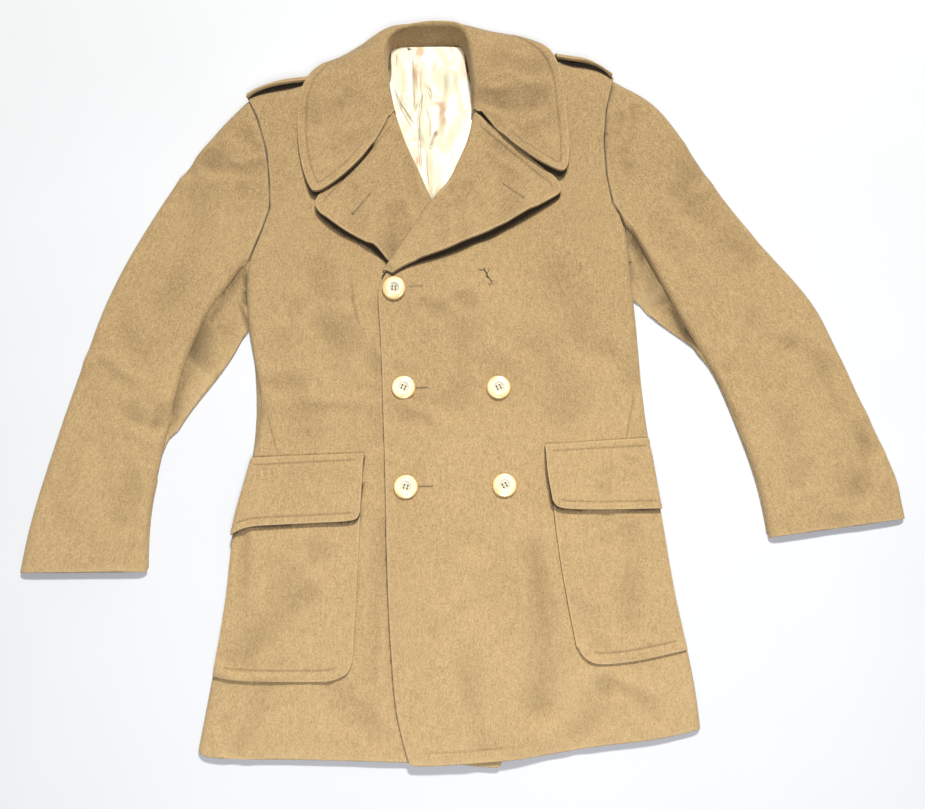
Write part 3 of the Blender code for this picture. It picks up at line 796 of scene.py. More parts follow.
RIGHT_BODY = creases(
    (-197, -5, -81, -6, 2, 8, -1.3), (-145, 94, -79, 36, 4, 12, 1.5),
    (-206, 17, -169, 14, 2, 7, 1.0), (-231, -330, -170, -333, 3, 6, 0.9),
    (-188, -352, -123, -331, -4, 6, 1.1), (-238, -369, -206, -363, 2, 6, 1.0),
    (-86, 110, -75, -54, -3, 7, 0.9), (-72, -80, -54, -380, 3, 7, 0.9),
    (-142, -185, -188, -217, 6, 14, 1.2), (-156, -233, -222, -300, -8, 16, 1.5),
    (-70, -150, -82, -322, 3, 9, 1.2), (-226, -165, -240, -300, 3, 8, 1.2),
    (-190, 10, -160, -40, 4, 16, 1.0), (-150, 150, -120, 40, -8, 20, 0.9),
    (-110, -345, -70, -385, 4, 14, 1.0), (-200, -345, -225, -395, 3, 11, 1.1),
    (-180, 110, -205, 60, 5, 12, 0.9),
)
LEFT_BODY = creases(
    (-56, 32, -34, 32, 2, 5, 1.0), (-52, -90, -29, -90, 2, 5, 1.0), (-20, 110, -12, 104, 0, 8, 1.9),
    (20, 118, 32, 113, 0, 10, 1.4), (-52, -24, -20, -30, 3, 8, 1.9), (-30, -3, 0, -7, -3, 7, 1.2),
    (19, 90, 16, -6, 5, 13, 0.8), (-50, 32, -34, 34, 0, 6, 0.9), (106, -185, 110, -345, 8, 15, 1.6),
    (34, -200, 2, -250, 3, 14, -1.1), (185, -330, 236, -357, 5, 8, 1.7),
    (150, -385, 182, -335, -3, 13, 1.0), (150, -76, 222, -77, 3, 6, 0.9),
    (191, -92, 186, -116, 2, 9, 0.9), (190, -145, 189, -172, 1, 10, 0.8),
    (216, -160, 211, -258, 4, 12, 1.0), (120, 60, 150, -20, 8, 20, 0.8),
    (140, 150, 180, 60, -10, 22, 1.0), (30, -300, 45, -392, -5, 12, 0.8),
    (60, 60, 100, 20, 4, 15, -0.8), (195, 60, 226, 20, 4, 11, 1.0),
    (150, -240, 178, -285, 4, 12, 0.7),
)
RIGHT_ARM = creases(
    (-253, 334, -234, 315, 3, 7, 1.9), (-312, 292, -284, 297, 4, 10, 1.9),
    (-286, 297, -228, 291, -7, 8, 1.7), (-250, 262, -262, 235, 3, 9, 0.9),
    (-392, 27, -372, 13, 2, 7, 1.9), (-372, -16, -338, -28, -4, 10, 2.1),
    (-338, -28, -318, -18, 2, 7, 1.4), (-424, 45, -384, 30, 12, 8, -1.3),
    (-365, -90, -376, -140, 4, 12, 1.0), (-300, 240, -345, 110, 8, 16, 0.9),
    (-455, -154, -346, -154, -1, 5, 0.6), (-415, -70, -430, -130, 3, 13, -0.8),
    (-385, 90, -360, 50, -4, 12, 0.8),
)
LEFT_ARM = creases(
    (240, 366, 229, 313, 3, 4.5, 2.1), (221, 358, 208, 334, 3, 5, 1.7),
    (222, 311, 234, 288, -3, 6, 1.6), (312, 302, 288, 262, 6, 12, 1.7),
    (300, 262, 324, 226, -6, 13, 1.5), (350, 196, 374, 171, 4, 12, 1.5),
    (372, 102, 417, 66, -8, 7, 1.9), (417, 66, 459, 22, 10, 9, 2.2),
    (341, 34, 372, 46, 3, 5.5, 1.8), (457, 18, 497, -48, -5, 6.5, 2.2),
    (497, -48, 472, -108, 14, 12, 1.7), (339, -14, 347, -52, 3, 7, 1.2),
    (459, -134, 463, -108, 1, 12, -1.2), (520, -106, 506, -78, 1, 12, -1.3),
    (262, 220, 300, 150, 5, 12, 0.9), (402, -20, 415, -95, 6, 16, 0.9),
)
RIGHT_UNDER_ARM = creases(
    (-246, 140, -258, 84, 4, 14, 0.6), (-262, 90, -292, 30, -4, 10, 0.4),
    (-238, 100, -246, 84, 1, 7, 0.8),
)
LEFT_UNDER_ARM = creases(
    (238, 170, 250, 116, 4, 14, 0.6), (252, 140, 290, 70, -5, 12, 0.5),
)
RIGHT_TURNED = creases(
    (-61, 218, -66, 175, 2, 6, 1.2), (-51, 327, -37, 257, 3, 8, 1.1),
    (-92, 318, -142, 258, 4, 8, 0.9), (-60, 232, -68, 168, 3, 12, 1.7),
    (-112, 262, -100, 205, -4, 11, 0.9), (-30, 220, -48, 168, 2, 9, -0.9),
)
LEFT_TURNED = creases(
    (32, 268, 23, 199, -4, 6, 1.7), (13, 264, 20, 246, 1, 7, 1.2), (-1, 238, -3, 194, 1, 8, 1.3),
    (-14, 257, -8, 236, 1, 6, 1.0), (84, 282, 76, 222, 4, 12, 0.9), (60, 310, 70, 276, 2, 10, 0.8),
    (56, 330, 122, 284, -4, 8, 0.9),
)
LINING_FOLDS = creases(
    (-66, 440, -60, 380, 3, 6, 1.5), (-34, 430, -31, 385, 1, 4, -1.8),
    (-25, 400, -24, 330, 1, 4, -1.8), (-10, 440, -2, 395, 2, 8, 1.2), (8, 420, 2, 330, 3, 10, -1.2),
    (22, 440, 28, 380, 2, 7, 1.3), (-52, 395, -42, 368, 1, 4, -1.3), (-6, 380, -12, 345, 2, 6, 1.3),
    (-36, 340, -26, 330, 1, 5, 1.1), (-13, 320, -12, 260, 1, 5, -1.1),
)
# Sharp folds of the lining, with shade painted along them.
LINING_LINES = (
    Seam(((-39.7, 446), (-38.1, 411), (-36.8, 375)), 1.0, 0.9, 0.83),
    Seam(((-26, 395), (-28.5, 387), (-31.1, 364), (-30.6, 337), (-27.7, 297)), 1.3, 1.2, 1.00),
    Seam(((-62.5, 404), (-54.4, 384), (-37.2, 356)), 0.9, 0.8, 0.90),
    Seam(((-62.4, 397), (-50.3, 370), (-39.7, 350)), 0.7, 0.7, 0.75),
    Seam(((-20.6, 377), (-16.6, 358), (-17.1, 336)), 0.8, 0.8, 0.75),
    Seam(((-17, 322), (-13, 336), (-8.8, 346)), 1.1, 1.4, 1.00),
    Seam(((-20.8, 319), (-20.6, 296), (-17.9, 272)), 0.6, 0.7, 0.68),
    Seam(((-18.3, 407), (-14.3, 395)), 0.6, 0.7, 0.75),
    Seam(((-19.5, 401), (-15.5, 391)), 0.6, 0.7, 0.75),
    Seam(((-60.5, 447), (-61.6, 435)), 0.7, 0.8, 0.60),
    Seam(((-36, 374), (-31.1, 392)), 0.7, 0.8, 0.68),
    Seam(((-26.4, 444), (-28.7, 412), (-27.2, 390)), 0.6, 0.8, 0.45),
    Seam(((9, 454), (14.2, 448)), 0.6, 0.8, 0.60),
    Seam(((-8, 441), (-15.8, 425)), 0.5, 0.7, 0.45),
)
# Stains of the lining: x, y, width and height. The broad one at 29, 436 by the collar's edge is
# painted shade.
LINING_STAINS = (
    (-3, 376, 8, 13), (1, 360, 5, 8), (-30, 450, 7, 5), (-35, 424, 3.5, 13), (-40, 336, 6, 4),
    (29, 436, 9, 15), (37, 386, 3, 16), (-70, 452, 6, 6), (-32, 306, 3, 8), (-9, 344, 3, 5),
)
COLLAR_CREASES = creases(
    (49, 381, 115, 379, -5, 11, 2.4), (46, 358, 59, 350, 2, 7, -0.8),
    (80, 352, 140, 300, 3, 8, 0.9), (72, 430, 128, 419, -5, 11, 1.1),
    (98, 330, 132, 342, 3, 10, 0.9), (-120, 380, -158, 352, 4, 11, 1.0),
    (-96, 330, -132, 312, -3, 10, 0.9), (-60, 495, -30, 500, 3, 10, 0.9),
    (30, 498, 4, 506, 3, 10, 0.9), (-130, 428, -100, 452, 4, 9, 0.9),
)


# Cloth --------------------------------------------------------------------------------


@dataclass
class ClothPiece:
    """A cut piece of cloth, made from the solid that holds its place.

    flat is the width, length and area of its flat cut, in metres, and below names the pieces
    that it rests on; neither is used.
    """

    node: str
    flat: tuple
    below: tuple
    finish: bpy.types.Material
    held: Held = Held.LAID
    slot: Slot = Slot.WOOL
    levels: int = 3
    folds: tuple = ()
    upper_only: bool = True
    stitch: float = 0.0
    sewn: tuple = ()
    unsewn: tuple = ()
    lines: tuple = ()
    pulls: tuple = ()
    joined_to: tuple = ()
    stains: tuple = ()
    room: float = 3.6
    firm: float = EDGE_FIRMNESS
    # share of the shade painted under the pieces that lie over it
    shaded: float = 1.0
    ripple: float = 0.35

    # The soft ripples of lying cloth: scales along X and Y, layer of the noise and share.
    RIPPLES = ((0.021, 0.016, 3.1, 1.0), (0.06, 0.05, 7.7, 0.45))
    FINE = (2.4, 1.3)           # edges are split down to these lengths beside sewing
    FINE_BESIDE = 1.2
    # A stitch groove's width and depth, and the shade painted in it.
    GROOVE_WIDTH, GROOVE_DEPTH, GROOVE_DARK = 1.15, 0.7, 0.30
    SWELL = 0.55                # how far the cloth swells between its edge and its stitching
    # Painted shade on the side walls near an edge and how far it reaches, and how far the wear and
    # painted highlight along an edge reach.
    EDGE_DARK, EDGE_REACH, WEAR_REACH = 0.5, 3.0, 1.6
    JOIN_NEAR, JOIN_FAR = 1.5, 9.0      # within these distances an edge goes to its neighbour
    LOOK_FROM = 0.3             # how far above the cloth its looks upwards start
    CLOSE_SHADE = 0.35          # how much painted shade a layer lays on the cloth that it touches

    def build(self) -> bpy.types.Object:
        """Returns:
            The finished piece.
        """
        self.piece = self.copied()
        self.subdivide()
        self.find_rim()
        self.refine()
        self.close_seams()
        self.shape()
        declare(self.piece, self.node)
        LOG.info("%s: %d faces", self.piece.name, len(self.piece.data.polygons))
        return self.piece

    def copied(self) -> bpy.types.Object:
        """A new object with the solid's mesh, merged and mostly in four-sided faces.

        Returns:
            The object.
        """
        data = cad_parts[self.node].data.copy()
        data.name = self.node + "_cloth"
        piece = add_object(self.node + "_cloth", data)
        with edit_mode(piece):
            bpy.ops.mesh.customdata_custom_splitnormals_clear()
            bpy.ops.mesh.remove_doubles(threshold=2e-6)
            bpy.ops.mesh.tris_convert_to_quads(
                face_threshold=math.radians(80), shape_threshold=math.radians(120)
            )
        data.materials.clear()
        data.materials.append(self.finish)
        return piece

    def subdivide(self) -> None:
        """Round the piece, with its folded edges kept firm and remembered as its rim."""
        with loose_mesh(self.piece.data) as mesh:
            rim = mesh.edges.layers.float.new("rim")
            firm = mesh.edges.layers.float.new("crease_edge")
            for edge in mesh.edges:
                if len(edge.link_faces) == 2 and edge.calc_face_angle() > SHARP:
                    edge[rim], edge[firm] = 1.0, self.firm
        apply_modifier(self.piece, "SUBSURF", levels=self.levels, render_levels=self.levels)
        self.piece.data.shade_smooth()

    def find_rim(self) -> None:
        """Sample the rim, and tell the samples that are sewn from those that aren't."""
        data = self.piece.data
        marks = read(data.attributes["rim"].data, "value", 1)[:, 0]
        ends = read(data.edges, "vertices", 2, np.int32)[marks > 0.5]
        points = points_of(data)
        first, second = points[ends[:, 0]], points[ends[:, 1]]
        self.rim = np.concatenate([first * (1 - t) + second * t for t in (0, 0.25, 0.5, 0.75)])
        named, wanted = (self.unsewn, False) if self.unsewn else (self.sewn, True)
        sewn = np.full(len(self.rim), not wanted)
        for path in named:
            sewn[path_distance(self.rim[:, :2], path)[0] < RIM_REACH] = wanted
        self.sewn_rim = self.rim[sewn]
        bare = self.rim[~sewn]
        self.last = np.zeros(len(self.sewn_rim), dtype=bool)
        if len(bare) and len(self.sewn_rim):
            self.last = nearest_of(bare, self.sewn_rim)[0] < LAST_STITCH
        for name in ("rim", "crease_edge"):
            data.attributes.remove(data.attributes[name])

    def sewing(self, points: np.ndarray) -> tuple:
        """Distance of points from the sewn rim, and which of them lie past its ends.

        Args:
            points: The points, a row each.
        Returns:
            The distances and the marks.
        """
        if not len(self.sewn_rim):
            return np.full(len(points), FAR), np.zeros(len(points), dtype=bool)
        off, index = nearest_of(self.sewn_rim, points)
        return off, self.last[index]

    def refine(self) -> None:
        """Finer faces where sewing and seams are pressed into the cloth."""
        if not (self.stitch or self.lines):
            return
        data = self.piece.data
        for size in self.FINE:
            points = points_of(data)
            near = np.zeros(len(points), dtype=bool)
            if self.stitch:
                inside, past = self.sewing(points)
                near |= (np.abs(inside - self.stitch) < size + self.FINE_BESIDE) & ~past
            for line in self.lines:
                near |= path_distance(points[:, :2], line.path)[0] < size + line.width
            with loose_mesh(data) as mesh:
                upper = {f for f in mesh.faces if f.normal.z > 0.05}
                split = [
                    edge for edge in mesh.edges
                    if (near[edge.verts[0].index] or near[edge.verts[1].index])
                    and edge.calc_length() > size * MM and any(f in upper for f in edge.link_faces)
                ]
                bmesh.ops.subdivide_edges(mesh, edges=split, cuts=1, use_grid_fill=True)
            data.shade_smooth()

    def shape(self) -> None:
        """Press the creases, the sewing and the soft ripples of lying cloth into the piece, and
        store where it is worn, where highlight and shade are painted, and its stains.
        """
        data = self.piece.data
        points, normals = points_of(data), normals_of(data)
        plan = points[:, :2].copy()
        up = normals[:, 2]
        height = sum((fold.height(plan) for fold in self.folds), np.zeros(len(points)))
        wave = np.array([
            sum(
                share * noise.noise(Vector((x * across, y * along, layer)))
                for across, along, layer, share in self.RIPPLES
            )
            for x, y in plan
        ])
        dip = np.clip(-height, 0, None)
        height += dip - self.room * np.tanh(dip / self.room) + self.ripple * wave
        edge = np.minimum(nearest_of(self.rim, points)[0], FAR)
        # Painted shade: on side walls near the rim, in troughs, in stitch grooves, along seams and
        # folds, and under other pieces.
        sunk = self.EDGE_DARK * (1 - ease(0.0, 0.55, up)) * bell(edge, self.EDGE_REACH)
        sunk *= up > -0.8
        sunk += SHADE * dip * (up > 0)
        outward = np.zeros(len(points))
        if self.stitch:
            inside, past = self.sewing(points)
            for path in self.unsewn:
                past |= path_distance(plan, path)[0] < NECK_BARE
            self.inside, self.past = inside.copy(), past
            inside[past] = FAR
            groove = bell(inside - self.stitch, self.GROOVE_WIDTH)
            t = np.clip(inside / self.stitch, 0, 1)
            outward += self.SWELL * np.sin(np.pi * t) * (inside < self.stitch)
            outward -= self.GROOVE_DEPTH * groove
            sunk += self.GROOVE_DARK * groove
        for line in self.lines:
            raised, dark = line.press(plan)
            outward += raised
            sunk += dark * (up > 0)
        points[:, 2] += height * (ease(0.0, 0.6, up) if self.upper_only else 1.0)
        points += normals * (outward * ease(0.0, 0.25, up))[:, None]
        for pull in self.pulls:
            points += pull.move(plan)
        if self.node == "back":
            points[:, 2] = np.maximum(points[:, 2], 0.0)
        move_points(data, points)
        # Painted shade where other pieces lie over this one.
        sunk += self.covered(points, up)
        # Wear along upturned edges, with a painted highlight where they catch the light.
        store(data, "wear", bell(edge, self.WEAR_REACH) * ease(0.3, 0.9, up))
        store(data, "sunk", np.clip(sunk, 0, 1))
        if self.stains:
            spread = [
                np.exp(-((plan[:, 0] - x) / wide) ** 2 - ((plan[:, 1] - y) / tall) ** 2)
                for x, y, wide, tall in self.stains
            ]
            store(data, "stain", np.max(spread, axis=0))

    def covered(self, points: np.ndarray, up: np.ndarray) -> np.ndarray:
        """Painted shade: how dark the piece is painted where another piece lies over it.

        Args:
            points: The finished points.
            up: How far each faces upwards.
        Returns:
            The painted shade at each, from 0 to 1.
        """
        dark = np.zeros(len(points))
        low, high = points.min(axis=0) * MM, points.max(axis=0) * MM
        for name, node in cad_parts.items():
            near, far = (Vector(corner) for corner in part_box(name))
            beside = near.x > high[0] or far.x < low[0] or near.y > high[1] or far.y < low[1]
            if name in (self.node, "back") or name.startswith("button") or beside:
                continue
            tree = tree_of(name)
            box = (points[:, 0] > near.x / MM - COVER) & (points[:, 0] < far.x / MM + COVER)
            box &= (points[:, 1] > near.y / MM - COVER) & (points[:, 1] < far.y / MM) & (up > 0.1)
            for k in np.flatnonzero(box):
                start = Vector(points[k]) * MM + Vector((0, 0, self.LOOK_FROM * MM))
                shade = 0.0
                for x, y in SKYWARD:
                    _, normal, _, off = tree.ray_cast(start, Vector((x, y, 1)), COVER * MM)
                    if off is not None and normal.z < 0:
                        above = float(ease(1.0, 5.0, np.array(off / MM)))
                        shade += self.CLOSE_SHADE + (1 - self.CLOSE_SHADE) * above
                dark[k] = max(dark[k], shade / len(SKYWARD))
        return self.shaded * ease(0.10, 0.95, dark)

    def close_seams(self) -> None:
        """Draw the edges that are sewn to a neighbour up to it."""
        data = self.piece.data
        points = points_of(data)
        for name in self.joined_to:
            tree = tree_of(name)
            for k, point in enumerate(points):
                found, _, _, off = tree.find_nearest(Vector(point) * MM, self.JOIN_FAR * MM)
                if found is not None:
                    pull = 1 - float(ease(self.JOIN_NEAR, self.JOIN_FAR, np.array(off / MM)))
                    points[k] += (np.array(found) / MM - point) * pull
        move_points(data, points)

    def seam_lines(self) -> list:
        """Lines that the topstitching follows on the finished piece.

        Returns:
            An array of points for each line.
        """
        if not self.stitch:
            return []
        return contour(self.piece.data, self.inside, self.stitch, self.past)


# Sewing -------------------------------------------------------------------------------


class Surface:
    """The upper side of some pieces, for what is sewn on them."""

    ABOVE = 0.2                 # metres above the floor and clear of the coat

    def __init__(self, *pieces: bpy.types.Object) -> None:
        """Read the pieces' finished meshes."""
        self.trees = [tree_from(piece.data) for piece in pieces]

    def at(self, x: float, y: float) -> tuple:
        """Highest place above a point of the plan.

        Args:
            x: Millimetres along X.
            y: Millimetres along Y.
        Returns:
            The place in metres, and the normal there.
        """
        best = None
        for tree in self.trees:
            above = Vector((x * MM, y * MM, self.ABOVE))
            spot, normal, _, _ = tree.ray_cast(above, Vector((0, 0, -1)))
            if spot is not None and (best is None or spot.z > best[0].z):
                best = (spot, normal)
        return best if best else (Vector((x * MM, y * MM, 0.01)), Vector((0, 0, 1)))

    def nearest(self, place: Vector) -> tuple:
        """Nearest place on the pieces, and the normal there.

        Args:
            place: The place to look from.
        Returns:
            The place and the normal.
        """
        found = [tree.find_nearest(place) for tree in self.trees]
        spot, normal, _, _ = min(found, key=lambda f: f[3])
        return spot, normal


class Thread:
    """Many short stitches joined as one mesh."""

    BLUNT = 0.6                 # below 1 the ends of a stitch are fuller than a ball's
    LIFT = 0.08                 # how far a stitch's middle lies above the cloth

    def __init__(self) -> None:
        """Model the one stitch that all are copied from: a low, round-ended bar."""
        bpy.ops.object.select_all(action="DESELECT")
        bpy.ops.mesh.primitive_uv_sphere_add(segments=6, ring_count=4, radius=0.5)
        bar = bpy.context.object
        with edit_mode(bar):
            bpy.ops.transform.rotate(value=math.pi / 2, orient_axis="Y", center_override=(0, 0, 0))
        self.points = np.array([v.co for v in bar.data.vertices])
        along = self.points[:, 0]
        blunt = np.sign(along) * np.abs(along) ** self.BLUNT * 0.5 ** (1 - self.BLUNT)
        self.points[:, 0] = blunt
        self.faces = [tuple(f.vertices) for f in bar.data.polygons]
        bpy.data.objects.remove(bar)
        self.made: list = []

    def stitch(self, start: Vector, end: Vector, normal: Vector, thick: float = THREAD) -> None:
        """Add a stitch.

        Args:
            start: One end, in metres.
            end: The other end.
            normal: The cloth's normal there.
            thick: Thickness in millimetres.
        """
        along = end - start
        if along.length < 1e-6:
            return
        aside = normal.cross(along).normalized()
        up = along.cross(aside).normalized()
        if up.dot(normal) < 0:
            up = -up
        turn = np.array((along, aside * thick * MM, up * thick * MM)).T
        middle = (start + end) / 2 + normal * self.LIFT * MM
        self.made.append(self.points @ turn.T + np.array(middle))

    def piece(self, name: str, finish: bpy.types.Material) -> bpy.types.Object:
        """Join the stitches as a piece that rides on the coat.

        Args:
            name: The piece's name.
            finish: Its material.
        Returns:
            The piece.
        """
        starts = range(0, len(self.points) * len(self.made), len(self.points))
        faces = [tuple(start + i for i in face) for start in starts for face in self.faces]
        data = bpy.data.meshes.new(name)
        data.from_pydata(np.concatenate(self.made).tolist(), [], faces)
        data.shade_smooth()
        data.materials.append(finish)
        piece = add_object(name, data)
        declare(piece)
        LOG.info("%s: %d stitches", name, len(self.made))
        self.made = []
        return piece


@dataclass(frozen=True)
class Buttonhole:
    """A worked buttonhole: a slit between two rows of purl, with an eye at its far end.

    slit and eye_width are the thickness of the painted shade of the open slit and of its eye,
    and a worn one is closed, so that its purl shows more than its painted shade.
    """

    start: tuple
    end: tuple
    eye: bool
    slit: float
    eye_width: float
    worn: bool

    PITCH = 0.95                # between one bar of purl and the next
    BAR, BAR_VARIES = 1.5, 0.2  # how long a bar is
    STEPS, OVERLAP = 5, 1.2     # of the dark of the slit
    EYE_BARS, EYE_FROM, EYE_TURN = 11, -125, 25
    EYE_IN, EYE_OUT, EYE_RING = 1.1, 2.6, 1.5

    def sew(self, surface: Surface, purl: Thread, dark: Thread) -> None:
        """Sew the buttonhole.

        Args:
            surface: The cloth.
            purl: Takes the purl stitches.
            dark: Takes the painted shade of the slit.
        """
        start, end = np.array(self.start), np.array(self.end)
        along = end - start
        length = np.hypot(*along)
        along /= length
        aside = np.array((-along[1], along[0]))
        bars = int(length / self.PITCH)

        def bar(thread: Thread, first: np.ndarray, second: np.ndarray, thick: float) -> None:
            """Add one bar between two points of the plan.

            Args:
                thread: Takes the bar.
                first: One end.
                second: The other end.
                thick: Thickness in millimetres.
            """
            one, normal = surface.at(*first)
            other, _ = surface.at(*second)
            thread.stitch(one, other, normal, thick)

        for k in range(bars + 1):
            for side in (-1, 1):
                inner = start + along * length * k / bars + aside * side * (0.1 + 0.4 * self.slit)
                long = self.BAR + self.BAR_VARIES * math.sin(3.1 * k)
                bar(purl, inner, inner + aside * side * long, THREAD)
        # The painted shade of the open slit, as dark bars, and below that of its eye.
        for k in range(self.STEPS):
            first = start + along * length * k / self.STEPS
            second = start + along * length * (k + self.OVERLAP) / self.STEPS
            bar(dark, first, second, self.slit)
        if self.eye:
            for k in range(self.EYE_BARS):
                angle = math.radians(self.EYE_FROM + self.EYE_TURN * k)
                ray, turn = (
                    along * math.cos(a) + aside * math.sin(a) for a in (angle, angle + 0.45)
                )
                bar(purl, end + ray * self.EYE_IN, end + ray * self.EYE_OUT, 0.6)
                if self.worn:
                    bar(dark, end + ray * self.EYE_RING, end + turn * self.EYE_RING, 0.35)
            if not self.worn:
                bar(dark, end - along * self.EYE_IN, end + along * self.EYE_IN, self.eye_width)


# Buttons ------------------------------------------------------------------------------


@dataclass
class Button:
    """A four-hole button with a dished middle, a raised ring and a broad flange."""

    node: str
    turn: float
    radius: float = 14.25
    thickness: float = 4.4
    pitch: float = 4.1
    hole: float = 2.1

    # Its turned profile from the back to the middle of the dish: radius and height, as shares.
    RINGS = (
        (0.84, 0.0), (0.93, 0.10), (0.985, 0.26), (1.0, 0.45), (0.985, 0.62), (0.945, 0.76),
        (0.88, 0.84), (0.78, 0.875), (0.68, 0.89), (0.605, 0.90), (0.58, 0.93), (0.56, 0.975),
        (0.53, 1.0), (0.50, 0.99), (0.475, 0.93), (0.45, 0.83), (0.42, 0.72), (0.385, 0.64),
        (0.32, 0.60), (0.02, 0.585),
    )
    BARS_AT = 0.59              # share of the thickness at which its thread lies in the dish

    def turned(self, finish: bpy.types.Material) -> bpy.types.Object:
        """Turn the button as on a lathe, its back at the origin, and drill it.

        Args:
            finish: Its material.
        Returns:
            The button.
        """
        bpy.ops.object.select_all(action="DESELECT")
        bpy.ops.mesh.primitive_circle_add(
            vertices=64, radius=self.RINGS[0][0] * self.radius * MM, fill_type="NGON"
        )
        button = bpy.context.object
        with edit_mode(button):
            for (width, high), (next_width, next_high) in zip(self.RINGS, self.RINGS[1:]):
                rise = (next_high - high) * self.thickness * MM
                bpy.ops.mesh.extrude_region_move(TRANSFORM_OT_translate={"value": (0, 0, rise)})
                grow = next_width / width
                bpy.ops.transform.resize(value=(grow, grow, 1))
            bpy.ops.mesh.select_all(action="SELECT")
            bpy.ops.mesh.normals_make_consistent(inside=False)
        drills = self.drills()
        apply_modifier(button, "BOOLEAN", operation="DIFFERENCE", object=drills, solver="EXACT")
        bpy.data.objects.remove(drills)
        apply_modifier(
            button, "BEVEL", width=0.22 * MM, segments=2, limit_method="ANGLE", angle_limit=SHARP
        )
        button.data.materials.clear()
        button.data.materials.append(finish)
        pick_only(button)
        bpy.ops.object.shade_smooth_by_angle(angle=math.radians(40))
        out = np.hypot(*points_of(button.data)[:, :2].T)
        store(button.data, "rim", np.clip(out / self.radius, 0, 1))
        return button

    def drills(self) -> bpy.types.Object:
        """The four drills, joined.

        Returns:
            The drills as one object.
        """
        bits = []
        out = self.pitch / math.sqrt(2) * MM
        for k in range(4):
            angle = math.radians(45 + 90 * k)
            bpy.ops.object.select_all(action="DESELECT")
            bpy.ops.mesh.primitive_cylinder_add(
                vertices=20, radius=self.hole / 2 * MM, depth=4 * self.thickness * MM,
                location=(out * math.cos(angle), out * math.sin(angle), 0),
            )
            bits.append(bpy.context.object)
        for bit in bits:
            bit.select_set(True)
        bpy.ops.object.join()
        joined = bpy.context.object
        bpy.ops.object.transform_apply(location=True, rotation=True, scale=True)
        return joined

    def seat(self) -> Matrix:
        """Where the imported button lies: its back's centre, its tilt and its own turn.

        Returns:
            The matrix from the lathe to there.
        """
        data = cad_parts[self.node].data
        centre, axis, total = Vector(), Vector(), 0.0
        for face in data.polygons:
            if face.normal.z < -0.5:
                axis -= face.normal * face.area
        axis.normalize()
        for face in data.polygons:
            if face.normal.dot(axis) < -0.99:
                centre += face.center * face.area
                total += face.area
        tilt = Vector((0, 0, 1)).rotation_difference(axis).to_matrix().to_4x4()
        turn = Matrix.Rotation(math.radians(self.turn), 4, "Z")
        return Matrix.Translation(centre / total) @ tilt @ turn

    def build(self, pattern: bpy.types.Object, thread: Thread, finish: bpy.types.Material) -> None:
        """Lay a copy of the turned button in its place and sew it on.

        Args:
            pattern: The turned button.
            thread: For its two bars.
            finish: The thread's material.
        """
        data = pattern.data.copy()
        seat = self.seat()
        data.transform(seat)
        piece = add_object(self.node + "_turned", data)
        declare(piece, self.node)
        half, level = self.pitch / 2 * MM, self.thickness * self.BARS_AT * MM
        up, across = (seat.to_3x3() @ Vector(way) for way in ((0, 0, 1), (1, 0, 0)))
        path = ((-half, level - 2.0 * MM), (-half, level), (half, level), (half, level - 2.0 * MM))
        for x in (-half, half):
            for shift in (-0.3 * MM, 0.3 * MM):
                spots = [seat @ Vector((x + shift, y, z)) for y, z in path]
                for k, (first, second) in enumerate(zip(spots, spots[1:])):
                    thread.stitch(first, second, up if k == 1 else across, 0.5)
        thread.piece(self.node + "_thread", finish)
        LOG.info("%s laid and sewn", piece.name)


# The coat -----------------------------------------------------------------------------


